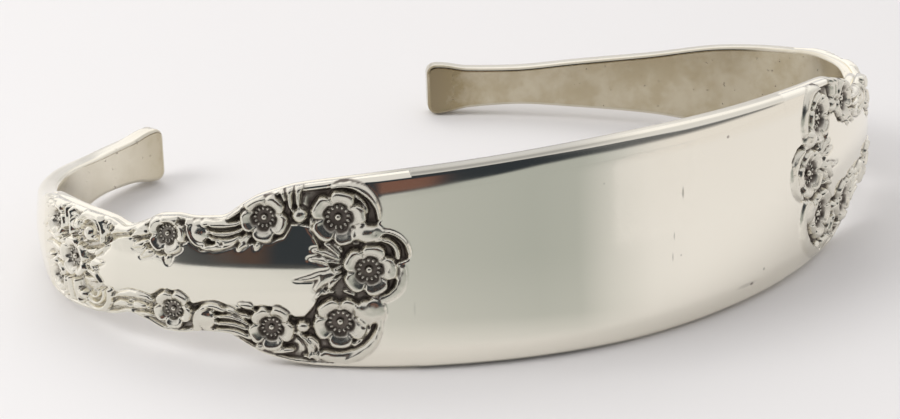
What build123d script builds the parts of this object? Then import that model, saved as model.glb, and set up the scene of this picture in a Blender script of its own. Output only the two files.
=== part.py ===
from build123d import *

import os

import numpy as np
from scipy.integrate import cumulative_trapezoid
from scipy.interpolate import PchipInterpolator
from scipy.spatial import ConvexHull, Delaunay, cKDTree

# A cuff bracelet bent from one silver spoon handle: a plain broad panel in front, a cast
# border of blossoms and scrolls on either side of it, and two plain narrow tails.
# Millimetres, +Z up, the panel towards -Y, and the gap for the wrist towards +Y.
# Along is the length on the outer face from the middle of the front, minus to the left.
# Across runs up that face from its middle line. Depth runs in from it, towards the wrist.

# Bends of the outer face, from the middle of the front to each tip
FRONT_RADIUS = 42.6
LEFT_FRONT_LENGTH = 31.9
LEFT_BEND_RADIUS = 14.7
LEFT_BEND_LENGTH = 17.7
LEFT_TAIL_RADIUS = 20.4
LEFT_TAIL_LENGTH = 20.0
RIGHT_FRONT_LENGTH = 32.5
RIGHT_BEND_RADIUS = 11.4
RIGHT_BEND_LENGTH = 18.1
RIGHT_TAIL_RADIUS = 70.0
RIGHT_TAIL_LENGTH = 26.3
BEND_EASING = 1.35

# Widths and thickness of the handle
PANEL_HALF_WIDTH = 7.5
SHOULDER_HALF_WIDTH = 4.12
WAIST_HALF_WIDTH = 3.1
CLUSTER_HALF_WIDTH = 3.72
TAIL_HALF_WIDTH = 1.53
TIP_HALF_WIDTH = 2.07
TIP_CORNER_RADIUS = 0.75
THICKNESS = 1.7
EDGE_ROUNDING = 0.16

# How far the panel and the cast border reach along the handle
PANEL_HALF_LENGTH = 15.1
BORDER_LENGTH = 30.8

# Crown of the outer face
PANEL_EDGE_DROP = 0.35
PANEL_EDGE_REACH = 1.8
FIELD_DROP = 0.28
FIELD_REACH = 3.0
CROWN_CHANGE = 5.0

# Relief of the cast border, which sits a little above the handle's middle line
RELIEF_PROUD = 0.32
RELIEF_RISE = 0.2
GROUND_RECESS = 0.3
GROUND_EASING = 0.3
GROUND_FADE = 1.8
BLOSSOM_RADIUS = 1.7
PETALS = 5
NOTCH_POWER = 6
STROKE_POWER = 4
KNOB_POWER = 3

# Mesh of the solid
PANEL_STEP = 2.0
BORDER_STEP = 0.66
TAIL_STEP = 1.7
FILL_STEP = 0.8
CLOSEST = 0.14
RELIEF_CLEARANCE = 0.36
STROKE_STEP = 0.55
CURVE_STEPS = 1500

# Outline: place along the stretch as a share of its length, and half width there
PANEL_EDGE = (
    (0.0, PANEL_HALF_WIDTH),
    (1.0, 0.94 * PANEL_HALF_WIDTH),
)
BORDER_EDGE = (
    (0.180, 0.892 * PANEL_HALF_WIDTH),
    (0.281, 0.850 * PANEL_HALF_WIDTH),
    (0.331, 0.795 * PANEL_HALF_WIDTH),
    (0.369, 0.745 * PANEL_HALF_WIDTH),
    (0.403, 0.667 * PANEL_HALF_WIDTH),
    (0.453, 1.00 * SHOULDER_HALF_WIDTH),
    (0.515, 0.98 * SHOULDER_HALF_WIDTH),
    (0.555, 1.02 * SHOULDER_HALF_WIDTH),
    (0.597, 1.00 * SHOULDER_HALF_WIDTH),
    (0.640, 0.86 * SHOULDER_HALF_WIDTH),
    (0.688, 1.00 * WAIST_HALF_WIDTH),
    (0.734, 1.12 * WAIST_HALF_WIDTH),
    (0.790, 0.98 * CLUSTER_HALF_WIDTH),
    (0.906, 1.00 * CLUSTER_HALF_WIDTH),
    (0.953, 0.98 * CLUSTER_HALF_WIDTH),
    (1.000, 0.94 * CLUSTER_HALF_WIDTH),
)
LEFT_TAIL_EDGE = (
    (0.07, 1.95 * TAIL_HALF_WIDTH),
    (0.24, 1.60 * TAIL_HALF_WIDTH),
    (0.49, 1.25 * TAIL_HALF_WIDTH),
    (0.70, 1.00 * TAIL_HALF_WIDTH),
    (0.86, 1.08 * TAIL_HALF_WIDTH),
    (0.95, 0.98 * TIP_HALF_WIDTH),
    (1.00, 1.00 * TIP_HALF_WIDTH),
)
RIGHT_TAIL_EDGE = (
    (0.21, 2.12 * TAIL_HALF_WIDTH),
    (0.41, 1.59 * TAIL_HALF_WIDTH),
    (0.60, 1.25 * TAIL_HALF_WIDTH),
    (0.77, 1.00 * TAIL_HALF_WIDTH),
    (0.89, 1.08 * TAIL_HALF_WIDTH),
    (0.96, 0.98 * TIP_HALF_WIDTH),
    (1.00, 1.00 * TIP_HALF_WIDTH),
)

# In the tables below along is a share of the border's length, across a share of the half
# width there, and other lengths are shares of the blossom's radius. Angles are in degrees,
# from the way to the tail and turning up the face.

# Edge of the border against the panel: across, along
FAN_LINE = (
    (-1.00, 0.160),
    (-0.55, 0.100),
    (-0.35, 0.105),
    (-0.10, 0.045),
    (0.05, 0.065),
    (0.25, 0.048),
    (0.42, 0.105),
    (0.65, 0.110),
    (1.00, 0.160),
)

# Plain field down the middle of the border: along, half width, below 0 where there is none
PLAIN_FIELD = (
    (0.215, -0.05),
    (0.250, 0.36),
    (0.330, 0.44),
    (0.420, 0.48),
    (0.520, 0.50),
    (0.560, 0.36),
    (0.610, 0.38),
    (0.650, 0.66),
    (0.700, 0.70),
    (0.740, 0.50),
    (0.785, -0.05),
)

# Blossoms: along, across, radius, turn of the first petal
BLOSSOMS = (
    (0.190, 0.590, 1.08, 38),
    (0.192, -0.545, 1.08, 55),
    (0.125, 0.025, 1.05, 36),
    (0.355, 0.710, 0.98, 20),
    (0.345, -0.665, 0.98, 52),
    (0.577, 0.680, 0.86, 50),
    (0.570, -0.650, 0.86, 62),
    (0.841, -0.040, 0.88, 10),
    (0.915, 0.560, 0.76, 30),
    (0.920, -0.520, 0.76, 66),
)

# Profile of a blossom: share of its reach, height, points per petal on that ring
BLOSSOM_RINGS = (
    (0.17, 0.25, 1),
    (0.44, 0.46, 2),
    (0.60, 0.30, 2),
    (0.78, 1.00, 4),
    (0.94, 0.82, 4),
    (1.06, 0.00, 4),
)
BLOSSOM_MIDDLE = 0.62
PETAL_NOTCH = 0.16
PETAL_CREASE = 0.55
CREASE_START = 0.6
CREASE_END = 0.75

# Curls: along, across, radius, start, sweep, share the radius loses,
# half width at the start and at the end, height
CURLS = (
    (0.176, 0.635, 1.42, 75, 140, 0.04, 0.20, 0.34, 1.25),
    (0.081, 0.240, 0.72, 60, 190, 0.25, 0.17, 0.25, 1.15),
    (0.084, -0.087, 0.77, 130, 135, 0.00, 0.26, 0.22, 1.15),
    (0.184, -0.555, 1.50, 165, 130, 0.05, 0.27, 0.20, 1.25),
    (0.484, 0.780, 0.70, 235, 165, 0.00, 0.15, 0.15, 1.0),
    (0.480, -0.780, 0.66, 120, -160, 0.00, 0.15, 0.15, 1.0),
    (0.791, 0.610, 0.74, 200, -235, 0.30, 0.20, 0.16, 1.0),
    (0.788, -0.590, 0.74, 165, 150, 0.00, 0.17, 0.14, 1.0),
    (0.788, -0.560, 0.42, 180, 130, 0.00, 0.11, 0.09, 0.8),
)

# Knobs: along, across, radius, height
KNOBS = (
    (0.126, 0.450, 0.42, 1.25),
    (0.119, -0.415, 0.42, 1.25),
    (0.275, 0.690, 0.36, 1.15),
    (0.272, -0.635, 0.31, 1.15),
    (0.497, 0.820, 0.24, 1.0),
    (0.492, -0.820, 0.23, 1.0),
    (0.822, 0.620, 0.28, 1.0),
    (0.628, -0.780, 0.18, 0.9),
)

# Leaves and reeds: along and across of both ends, bow as a share of the length,
# half width at the start and at the end, height
LEAVES = (
    (0.196, 0.940, 0.262, 0.950, 0.00, 0.16, 0.12, 1.0),
    (0.262, 0.945, 0.268, 0.790, 0.05, 0.16, 0.13, 1.0),
    (0.292, 0.960, 0.290, 0.770, -0.05, 0.15, 0.13, 1.0),
    (0.288, -0.600, 0.262, -0.935, -0.16, 0.16, 0.12, 1.0),
    (0.280, -0.745, 0.262, -0.880, -0.10, 0.12, 0.10, 0.8),
    (0.308, 0.955, 0.405, 0.985, 0.13, 0.12, 0.12, 0.9),
    (0.300, -0.910, 0.385, -0.960, -0.06, 0.12, 0.12, 0.9),
    (0.409, 0.780, 0.487, 0.910, -0.10, 0.10, 0.10, 0.9),
    (0.409, 0.690, 0.484, 0.790, -0.10, 0.10, 0.10, 0.9),
    (0.406, 0.590, 0.470, 0.510, -0.12, 0.14, 0.15, 1.0),
    (0.397, -0.790, 0.481, -0.670, 0.12, 0.10, 0.10, 0.9),
    (0.403, -0.900, 0.481, -0.800, 0.12, 0.10, 0.10, 0.9),
    (0.416, -0.610, 0.459, -0.535, 0.05, 0.12, 0.14, 1.0),
    (0.425, -0.985, 0.500, -0.950, 0.10, 0.11, 0.10, 0.9),
    (0.395, 0.545, 0.410, 0.390, 0.05, 0.16, 0.07, 0.7),
    (0.372, 0.460, 0.382, 0.370, 0.00, 0.12, 0.06, 0.7),
    (0.375, -0.510, 0.410, -0.430, 0.08, 0.16, 0.07, 0.7),
    (0.184, 0.110, 0.253, 0.150, 0.04, 0.16, 0.06, 0.7),
    (0.184, 0.045, 0.287, -0.068, -0.03, 0.13, 0.05, 0.6),
    (0.181, -0.015, 0.243, -0.150, 0.05, 0.17, 0.12, 0.7),
    (0.196, 0.190, 0.240, 0.240, 0.05, 0.12, 0.05, 0.6),
    (0.198, 0.235, 0.228, 0.370, 0.05, 0.12, 0.05, 0.6),
    (0.184, -0.120, 0.206, -0.250, 0.05, 0.12, 0.06, 0.6),
    (0.613, 0.640, 0.672, 0.840, -0.12, 0.20, 0.09, 0.8),
    (0.675, 0.740, 0.716, 0.930, 0.10, 0.12, 0.06, 0.7),
    (0.600, 0.430, 0.647, 0.370, -0.08, 0.12, 0.05, 0.6),
    (0.520, 0.960, 0.585, 1.000, 0.06, 0.11, 0.10, 0.8),
    (0.616, -0.560, 0.666, -0.580, 0.10, 0.12, 0.06, 0.7),
    (0.672, -0.800, 0.725, -0.760, 0.12, 0.15, 0.07, 0.8),
    (0.797, 0.030, 0.744, 0.090, 0.06, 0.12, 0.04, 0.6),
    (0.797, 0.230, 0.731, 0.450, 0.10, 0.15, 0.05, 0.7),
    (0.800, -0.210, 0.756, -0.430, -0.10, 0.15, 0.05, 0.7),
    (0.844, -0.500, 0.841, -0.870, 0.05, 0.20, 0.16, 0.9),
    (0.872, -0.500, 0.866, -0.890, 0.05, 0.17, 0.13, 0.9),
    (0.850, 0.480, 0.856, 0.860, 0.05, 0.17, 0.13, 0.9),
    (0.878, 0.900, 0.930, 0.920, 0.08, 0.15, 0.10, 0.9),
    (0.888, 0.070, 0.975, 0.020, 0.03, 0.15, 0.05, 0.7),
    (0.950, -0.180, 0.982, -0.330, 0.05, 0.14, 0.05, 0.7),
    (0.950, 0.560, 0.990, 0.300, 0.05, 0.14, 0.05, 0.7),
    (0.880, -0.890, 0.945, -0.880, -0.08, 0.13, 0.08, 0.8),
)

# Rows of the mesh: across a stroke and the handle as shares of the half width, down the panel's
# edge as shares of the edge's reach, and round a knob as shares of its radius with their points
STROKE_ROWS = (-1.1, -0.65, 0.0, 0.65, 1.1)
ROWS_ACROSS = (-0.5, 0.0, 0.5)
EDGE_ROWS = (0.0, 0.4, 0.72)
KNOB_ROWS = ((0.62, 6), (1.05, 9))
TIP_CORNER_ANGLES = (0.0, 30.0, 60.0, 90.0)

# The roundest that a tip's corner may be as a share of the tip's half width, the room that an
# edge keeps round its middle as a share of its half length, and the steepest a face may stand
# that the cuff can lie on
ROUNDEST_TIP = 0.8
EDGE_ROOM = 1.05
LYING_SLOPE = 0.7


def smooth_step(value, start, end):
    """0 before the start, 1 past the end, and a smooth rise between them."""
    share = np.clip((value - start) / (end - start), 0.0, 1.0)
    return share * share * (3.0 - 2.0 * share)


def lay_curve(front, bend_radius, bend, tail_radius, tail):
    """Length, place and heading along one half of the outer face."""
    length = np.linspace(0.0, front + bend + tail, CURVE_STEPS)
    into_bend = 0.5 + 0.5 * np.tanh((length - front) / BEND_EASING)
    into_tail = 0.5 + 0.5 * np.tanh((length - front - bend) / BEND_EASING)
    curvature = 1.0 / FRONT_RADIUS
    curvature = curvature + (1.0 / bend_radius - 1.0 / FRONT_RADIUS) * into_bend
    curvature = curvature + (1.0 / tail_radius - 1.0 / bend_radius) * into_tail
    heading = cumulative_trapezoid(curvature, length, initial=0.0)
    x = cumulative_trapezoid(np.cos(heading), length, initial=0.0)
    y = cumulative_trapezoid(np.sin(heading), length, initial=0.0)
    return length, x, y, heading


LEFT_CURVE = lay_curve(
    LEFT_FRONT_LENGTH, LEFT_BEND_RADIUS, LEFT_BEND_LENGTH, LEFT_TAIL_RADIUS, LEFT_TAIL_LENGTH
)
RIGHT_CURVE = lay_curve(
    RIGHT_FRONT_LENGTH, RIGHT_BEND_RADIUS, RIGHT_BEND_LENGTH, RIGHT_TAIL_RADIUS, RIGHT_TAIL_LENGTH
)
LEFT_LENGTH = LEFT_CURVE[0][-1]
RIGHT_LENGTH = RIGHT_CURVE[0][-1]
BORDER_END = PANEL_HALF_LENGTH + BORDER_LENGTH


def lay_outline(half_length, tail_edge):
    """Half width against the length from the middle of the front, for one half."""
    tail = half_length - BORDER_END
    rows = [(share * PANEL_HALF_LENGTH, width) for share, width in PANEL_EDGE]
    rows += [(PANEL_HALF_LENGTH + share * BORDER_LENGTH, width) for share, width in BORDER_EDGE]
    rows += [(BORDER_END + share * tail, width) for share, width in tail_edge]
    return PchipInterpolator(*np.transpose(rows))


LEFT_OUTLINE = lay_outline(LEFT_LENGTH, LEFT_TAIL_EDGE)
RIGHT_OUTLINE = lay_outline(RIGHT_LENGTH, RIGHT_TAIL_EDGE)


def half_width(along):
    """Half width of the handle at each place along it."""
    length = np.abs(along)
    left = LEFT_OUTLINE(np.minimum(length, LEFT_LENGTH))
    right = RIGHT_OUTLINE(np.minimum(length, RIGHT_LENGTH))
    return np.where(along < 0.0, left, right)


def place(along, across, depth):
    """Points in space of places along, across and into the handle."""
    points = np.empty((len(along), 3))
    points[:, 2] = across
    for sign, curve in ((-1.0, LEFT_CURVE), (1.0, RIGHT_CURVE)):
        part = along < 0.0 if sign < 0.0 else along >= 0.0
        length, x, y, heading = curve
        here = np.abs(along[part])
        turn = np.interp(here, length, heading)
        points[part, 0] = sign * (np.interp(here, length, x) - np.sin(turn) * depth[part])
        points[part, 1] = np.interp(here, length, y) + np.cos(turn) * depth[part]
    return points


def on_border(share_along, share_across):
    """Length from the middle of the front and distance across of a place in the tables."""
    along = PANEL_HALF_LENGTH + share_along * BORDER_LENGTH
    return along, RELIEF_RISE + share_across * RIGHT_OUTLINE(along)


def crown_drop(along, across):
    """How far the outer face falls below its middle line."""
    past = np.abs(across) - (half_width(along) - PANEL_EDGE_REACH)
    panel = PANEL_EDGE_DROP * (np.maximum(past, 0.0) / PANEL_EDGE_REACH) ** 2
    field = FIELD_DROP * (1.0 - (1.0 - np.minimum(np.abs(across) / FIELD_REACH, 1.0) ** 2) ** 2)
    change = smooth_step(np.abs(along), PANEL_HALF_LENGTH, PANEL_HALF_LENGTH + CROWN_CHANGE)
    return panel + (field - panel) * change


def ground_share(along, across):
    """1 on the sunk ground of the border, 0 on the plain faces, for places on either half."""
    share_along = (np.abs(along) - PANEL_HALF_LENGTH) / BORDER_LENGTH
    off_middle = across - RELIEF_RISE
    easing = GROUND_EASING / BORDER_LENGTH
    fan = np.interp(off_middle / half_width(along), *np.transpose(FAN_LINE))
    ground = smooth_step(share_along, fan - easing, fan + easing)
    ground = ground * (1.0 - smooth_step(share_along, 1.0 - GROUND_FADE / BORDER_LENGTH, 1.0))
    field = np.interp(share_along, *np.transpose(PLAIN_FIELD)) * half_width(along)
    past_field = np.abs(off_middle) - field
    return ground * smooth_step(past_field, -0.5 * GROUND_EASING, 0.5 * GROUND_EASING)


def blossom_reach(angle, radius):
    """Radius of the petals' outline at each angle from the first petal."""
    notch = np.abs(np.sin(0.5 * PETALS * angle)) ** NOTCH_POWER
    return radius * (1.0 - PETAL_NOTCH * notch)


def blossom_height(along, across, row):
    """Height of one blossom at each place."""
    share_along, share_across, size, turn = row
    centre_along, centre_across = on_border(share_along, share_across)
    radius = size * BLOSSOM_RADIUS
    distance = np.hypot(along - centre_along, across - centre_across)
    angle = np.arctan2(across - centre_across, along - centre_along) - np.radians(turn)
    share = distance / blossom_reach(angle, radius)
    rings = [0.0] + [ring[0] for ring in BLOSSOM_RINGS]
    heights = [BLOSSOM_MIDDLE] + [ring[1] for ring in BLOSSOM_RINGS]
    between = np.abs(np.sin(0.5 * PETALS * angle)) ** NOTCH_POWER
    crease = 1.0 - PETAL_CREASE * between * smooth_step(share, CREASE_START, CREASE_END)
    return np.interp(share, rings, heights) * crease


def curl_path(row):
    """Centre line and half widths of one curl."""
    share_along, share_across, size, start, sweep, loss, wide_start, wide_end, height = row
    centre_along, centre_across = on_border(share_along, share_across)
    radius = size * BLOSSOM_RADIUS
    steps = max(4, int(np.ceil(radius * np.radians(abs(sweep)) / STROKE_STEP)) + 1)
    share = np.linspace(0.0, 1.0, steps)
    angle = np.radians(start + sweep * share)
    reach = radius * (1.0 - loss * share)
    path = around((centre_along, centre_across), angle, reach)
    return path, BLOSSOM_RADIUS * (wide_start + (wide_end - wide_start) * share), height


def leaf_path(row):
    """Centre line and half widths of one leaf or reed."""
    along_start, across_start, along_end, across_end, bow, wide_start, wide_end, height = row
    start = np.array(on_border(along_start, across_start))
    end = np.array(on_border(along_end, across_end))
    length = np.hypot(*(end - start))
    aside = np.array([start[1] - end[1], end[0] - start[0]])
    steps = max(3, int(np.ceil(length / STROKE_STEP)) + 1)
    share = np.linspace(0.0, 1.0, steps)[:, None]
    path = start + (end - start) * share + aside * bow * 4.0 * share * (1.0 - share)
    return path, BLOSSOM_RADIUS * (wide_start + (wide_end - wide_start) * share[:, 0]), height


def all_strokes():
    """Centre line, half widths and height of every curl and leaf."""
    return [curl_path(row) for row in CURLS] + [leaf_path(row) for row in LEAVES]


def stroke_height(along, across, stroke):
    """Height of one stroke at each place, rounded across it."""
    path, half_widths, height = stroke
    share = np.full(len(along), np.inf)
    for first in range(len(path) - 1):
        step = path[first + 1] - path[first]
        part = ((along - path[first, 0]) * step[0] + (across - path[first, 1]) * step[1]) / (step @ step)
        part = np.clip(part, 0.0, 1.0)
        off_along = along - path[first, 0] - part * step[0]
        off_across = across - path[first, 1] - part * step[1]
        wide = half_widths[first] + part * (half_widths[first + 1] - half_widths[first])
        share = np.minimum(share, np.hypot(off_along, off_across) / wide)
    return height * np.sqrt(np.maximum(0.0, 1.0 - share**STROKE_POWER))


def knob_height(along, across, row):
    """Height of one round knob at each place."""
    share_along, share_across, size, height = row
    centre_along, centre_across = on_border(share_along, share_across)
    share = np.hypot(along - centre_along, across - centre_across) / (size * BLOSSOM_RADIUS)
    return height * np.sqrt(np.maximum(0.0, 1.0 - share**KNOB_POWER))


def outer_depth(along, across):
    """Depth of the outer face, with its crown, sunk ground and relief."""
    mirrored = np.abs(along)
    raised = np.zeros(len(along))
    for row in BLOSSOMS:
        raised = np.maximum(raised, blossom_height(mirrored, across, row))
    for stroke in all_strokes():
        raised = np.maximum(raised, stroke_height(mirrored, across, stroke))
    for row in KNOBS:
        raised = np.maximum(raised, knob_height(mirrored, across, row))
    base = GROUND_RECESS * ground_share(along, across)
    return crown_drop(along, across) + base - (RELIEF_PROUD + base) * raised


def around(centre, angle, radius):
    """Points at the angles round a place."""
    return np.stack([centre[0] + radius * np.cos(angle), centre[1] + radius * np.sin(angle)], axis=1)


def ring_angles(count):
    """Angles of a ring of points."""
    return np.arange(count) * 2.0 * np.pi / count


def relief_points():
    """Places that the mesh takes up so that the relief of one half keeps its shape."""
    groups = []
    for share_along, share_across, size, turn in BLOSSOMS:
        centre = on_border(share_along, share_across)
        groups.append(np.array([centre]))
        for share, _, per_petal in BLOSSOM_RINGS:
            angle = ring_angles(per_petal * PETALS)
            reach = share * blossom_reach(angle, size * BLOSSOM_RADIUS)
            groups.append(around(centre, angle + np.radians(turn), reach))
    for share_along, share_across, size, _ in KNOBS:
        centre = on_border(share_along, share_across)
        groups.append(np.array([centre]))
        for share, count in KNOB_ROWS:
            groups.append(around(centre, ring_angles(count), share * size * BLOSSOM_RADIUS))
    for path, half_widths, _ in all_strokes():
        heading = np.gradient(path, axis=0)
        heading = heading / np.linalg.norm(heading, axis=1, keepdims=True)
        aside = np.stack([-heading[:, 1], heading[:, 0]], axis=1)
        for share in STROKE_ROWS:
            groups.append(path + aside * (share * half_widths)[:, None])
    return np.concatenate(groups)


def fill_points(half_length, outline):
    """Places that fill the plain faces and the ground of one half."""
    points = []
    for along in np.arange(0.0, PANEL_HALF_LENGTH, PANEL_STEP):
        flat = outline(along) - PANEL_EDGE_REACH
        for across in (0.0, 0.5 * flat, *(flat + share * PANEL_EDGE_REACH for share in EDGE_ROWS)):
            points += [(along, across), (along, -across)]
    for number, along in enumerate(np.arange(PANEL_HALF_LENGTH, BORDER_END, FILL_STEP)):
        edge = outline(along)
        shift = 0.5 * FILL_STEP * (number % 2)
        points += [(along, across) for across in np.arange(-edge + shift, edge, FILL_STEP)]
        field = np.interp((along - PANEL_HALF_LENGTH) / BORDER_LENGTH, *np.transpose(PLAIN_FIELD)) * edge
        for off_middle in (field - 0.5 * GROUND_EASING, field + 0.5 * GROUND_EASING):
            points += [(along, RELIEF_RISE + off_middle), (along, RELIEF_RISE - off_middle)]
    for along in np.arange(BORDER_END, half_length - TAIL_STEP, TAIL_STEP):
        points += [(along, share * outline(along)) for share in ROWS_ACROSS]
    return np.unique(np.round(points, 6), axis=0)


def leave_out_close(points, gap):
    """The points without each that lies closer than the gap to an earlier one."""
    pairs = cKDTree(points).query_pairs(gap, output_type="ndarray")
    pairs = pairs[np.lexsort((pairs[:, 1], pairs[:, 0]))]
    kept = np.ones(len(points), dtype=bool)
    for first, second in pairs:
        if kept[first]:
            kept[second] = False
    return points[kept]


def upper_edge(half_length, outline):
    """Outline of one half from the middle of the front along the top to the middle of the tip."""
    corner = min(TIP_CORNER_RADIUS, ROUNDEST_TIP * TIP_HALF_WIDTH)
    middle_along = half_length - corner
    middle_across = float(outline(middle_along)) - corner
    columns = np.concatenate([
        np.arange(0.0, PANEL_HALF_LENGTH, PANEL_STEP),
        np.arange(PANEL_HALF_LENGTH, BORDER_END, BORDER_STEP),
        np.arange(BORDER_END, middle_along - 0.5 * TAIL_STEP, TAIL_STEP),
    ])
    points = [(along, float(outline(along))) for along in columns]
    for angle in np.radians(TIP_CORNER_ANGLES):
        points.append((middle_along + corner * np.sin(angle), middle_across + corner * np.cos(angle)))
    return np.array(points + [(half_length, 0.0)])


def whole_outline():
    """Outline of the flat handle, anticlockwise from the bottom of the middle."""
    right = upper_edge(RIGHT_LENGTH, RIGHT_OUTLINE)
    left = upper_edge(LEFT_LENGTH, LEFT_OUTLINE) * (-1.0, 1.0)
    return np.concatenate([
        right[:-1] * (1.0, -1.0),
        right[::-1],
        left[1:],
        left[-2:0:-1] * (1.0, -1.0),
    ])


def move_in(outline, distance):
    """The outline moved in by the distance."""
    heading = np.roll(outline, -1, axis=0) - np.roll(outline, 1, axis=0)
    heading = heading / np.linalg.norm(heading, axis=1, keepdims=True)
    return outline - distance * np.stack([heading[:, 1], -heading[:, 0]], axis=1)


def clear_of_edges(points, outline):
    """The points that leave every edge of the outline whole in a triangulation."""
    ends = np.roll(outline, -1, axis=0)
    middles = 0.5 * (outline + ends)
    reach = 0.5 * np.linalg.norm(ends - outline, axis=1)
    distance = np.linalg.norm(points[:, None, :] - middles[None, :, :], axis=2)
    clear = (distance > EDGE_ROOM * reach).all(axis=1)
    return points[clear & is_inside(points, outline)]


def is_inside(points, outline):
    """Whether each point lies inside the closed outline."""
    ends = np.roll(outline, -1, axis=0)
    x = points[:, 0][:, None]
    y = points[:, 1][:, None]
    spans = (outline[:, 1] > y) != (ends[:, 1] > y)
    rise = ends[:, 1] - outline[:, 1]
    rise = np.where(rise == 0.0, 1.0, rise)
    cross = outline[:, 0] + (y - outline[:, 1]) / rise * (ends[:, 0] - outline[:, 0])
    return (spans & (x < cross)).sum(axis=1) % 2 == 1


def triangulate(outline, points):
    """Anticlockwise triangles over the outline's points followed by the inner points."""
    flat = np.concatenate([outline, points])
    triangles = Delaunay(flat).simplices
    triangles = triangles[is_inside(flat[triangles].mean(axis=1), outline)]
    first = flat[triangles[:, 1]] - flat[triangles[:, 0]]
    second = flat[triangles[:, 2]] - flat[triangles[:, 0]]
    turned = first[:, 0] * second[:, 1] - first[:, 1] * second[:, 0] < 0.0
    triangles[turned] = triangles[turned][:, ::-1]
    return flat, triangles


def outer_face(outline):
    """Flat places and triangles of the outer face."""
    relief = relief_points()
    relief = np.concatenate([relief, relief * (-1.0, 1.0)])
    right = fill_points(RIGHT_LENGTH, RIGHT_OUTLINE)
    left = fill_points(LEFT_LENGTH, LEFT_OUTLINE) * (-1.0, 1.0)
    fill = np.concatenate([right, left])
    relief = leave_out_close(relief, CLOSEST)
    far, _ = cKDTree(relief).query(fill)
    points = np.concatenate([relief, leave_out_close(fill[far > RELIEF_CLEARANCE], CLOSEST)])
    return triangulate(outline, clear_of_edges(points, outline))


def inner_face(outline):
    """Flat places and triangles of the plain inner face."""
    columns = np.concatenate([
        -np.arange(0.0, LEFT_LENGTH - TAIL_STEP, PANEL_STEP)[:0:-1],
        np.arange(0.0, RIGHT_LENGTH - TAIL_STEP, PANEL_STEP),
    ])
    points = [(along, share * half_width(along)) for along in columns for share in ROWS_ACROSS]
    return triangulate(outline, clear_of_edges(np.array(points), outline))


def build_mesh():
    """Vertices and outward triangles of the whole cuff, before it is laid down."""
    outline = whole_outline()
    inset = move_in(outline, EDGE_ROUNDING)
    outer, outer_triangles = outer_face(inset)
    inner, inner_triangles = inner_face(inset)
    count = len(outline)
    inner_depth = np.full(len(inner), THICKNESS)
    shoulder_depth = outer_depth(outline[:, 0], outline[:, 1]) + EDGE_ROUNDING
    vertices = np.concatenate([
        place(outer[:, 0], outer[:, 1], outer_depth(outer[:, 0], outer[:, 1])),
        place(inner[:, 0], inner[:, 1], inner_depth),
        place(outline[:, 0], outline[:, 1], shoulder_depth),
        place(outline[:, 0], outline[:, 1], np.full(count, THICKNESS - EDGE_ROUNDING)),
    ])
    first_inner = len(outer)
    first_shoulder = first_inner + len(inner)
    first_foot = first_shoulder + count
    rows = (0, first_shoulder, first_foot, first_inner)
    triangles = [outer_triangles, inner_triangles[:, ::-1] + first_inner]
    here = np.arange(count)
    after = (here + 1) % count
    for above, below in zip(rows, rows[1:]):
        triangles.append(np.stack([above + after, above + here, below + here], axis=1))
        triangles.append(np.stack([above + after, below + here, below + after], axis=1))
    return vertices, np.concatenate(triangles)


def centre_of_mass(vertices, triangles):
    """Centre of the volume inside the triangles."""
    a, b, c = (vertices[triangles[:, corner]] for corner in range(3))
    volumes = np.einsum("ij,ij->i", a, np.cross(b, c)) / 6.0
    centres = (a + b + c) / 4.0
    return (volumes[:, None] * centres).sum(axis=0) / volumes.sum()


def lay_down(vertices, triangles):
    """The vertices turned onto the facet of their hull that the cuff rests on."""
    centre = centre_of_mass(vertices, triangles)
    hull = ConvexHull(vertices)
    best = None
    for corners, plane in zip(hull.simplices, hull.equations):
        normal = plane[:3]
        if normal[2] > -LYING_SLOPE:
            continue
        foot = centre - (normal @ centre + plane[3]) * normal
        a, b, c = vertices[corners]
        shares = np.linalg.lstsq(np.stack([a, b, c], axis=1), foot, rcond=None)[0]
        if best is None or shares.min() > best[0]:
            best = (shares.min(), normal)
    down = np.array([0.0, 0.0, -1.0])
    axis = np.cross(best[1], down)
    angle = np.arctan2(np.linalg.norm(axis), best[1] @ down)
    axis = axis / np.linalg.norm(axis)
    turned = (
        vertices * np.cos(angle)
        + np.cross(axis, vertices) * np.sin(angle)
        + np.outer(vertices @ axis, axis) * (1.0 - np.cos(angle))
    )
    low = turned.min(axis=0)
    high = turned.max(axis=0)
    return turned - (0.5 * (low[0] + high[0]), 0.5 * (low[1] + high[1]), low[2])


def make_solid(vertices, triangles):
    """One closed solid from the mesh."""
    corners = [Vector(*vertex) for vertex in vertices]
    faces = [Face(Wire.make_polygon([corners[i] for i in triangle], close=True)) for triangle in triangles]
    return Solid(Shell(faces))


mesh_vertices, mesh_triangles = build_mesh()
cuff = make_solid(lay_down(mesh_vertices, mesh_triangles), mesh_triangles)
cuff.label = "cuff"

os.makedirs("parts", exist_ok=True)
export_step(cuff, "parts/cuff.step", write_pcurves=False)
print("triangles", len(mesh_triangles), "volume", round(cuff.volume, 1), "box", cuff.bounding_box())
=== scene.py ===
import math

import bpy
import numpy as np
from mathutils import Matrix, Vector


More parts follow.
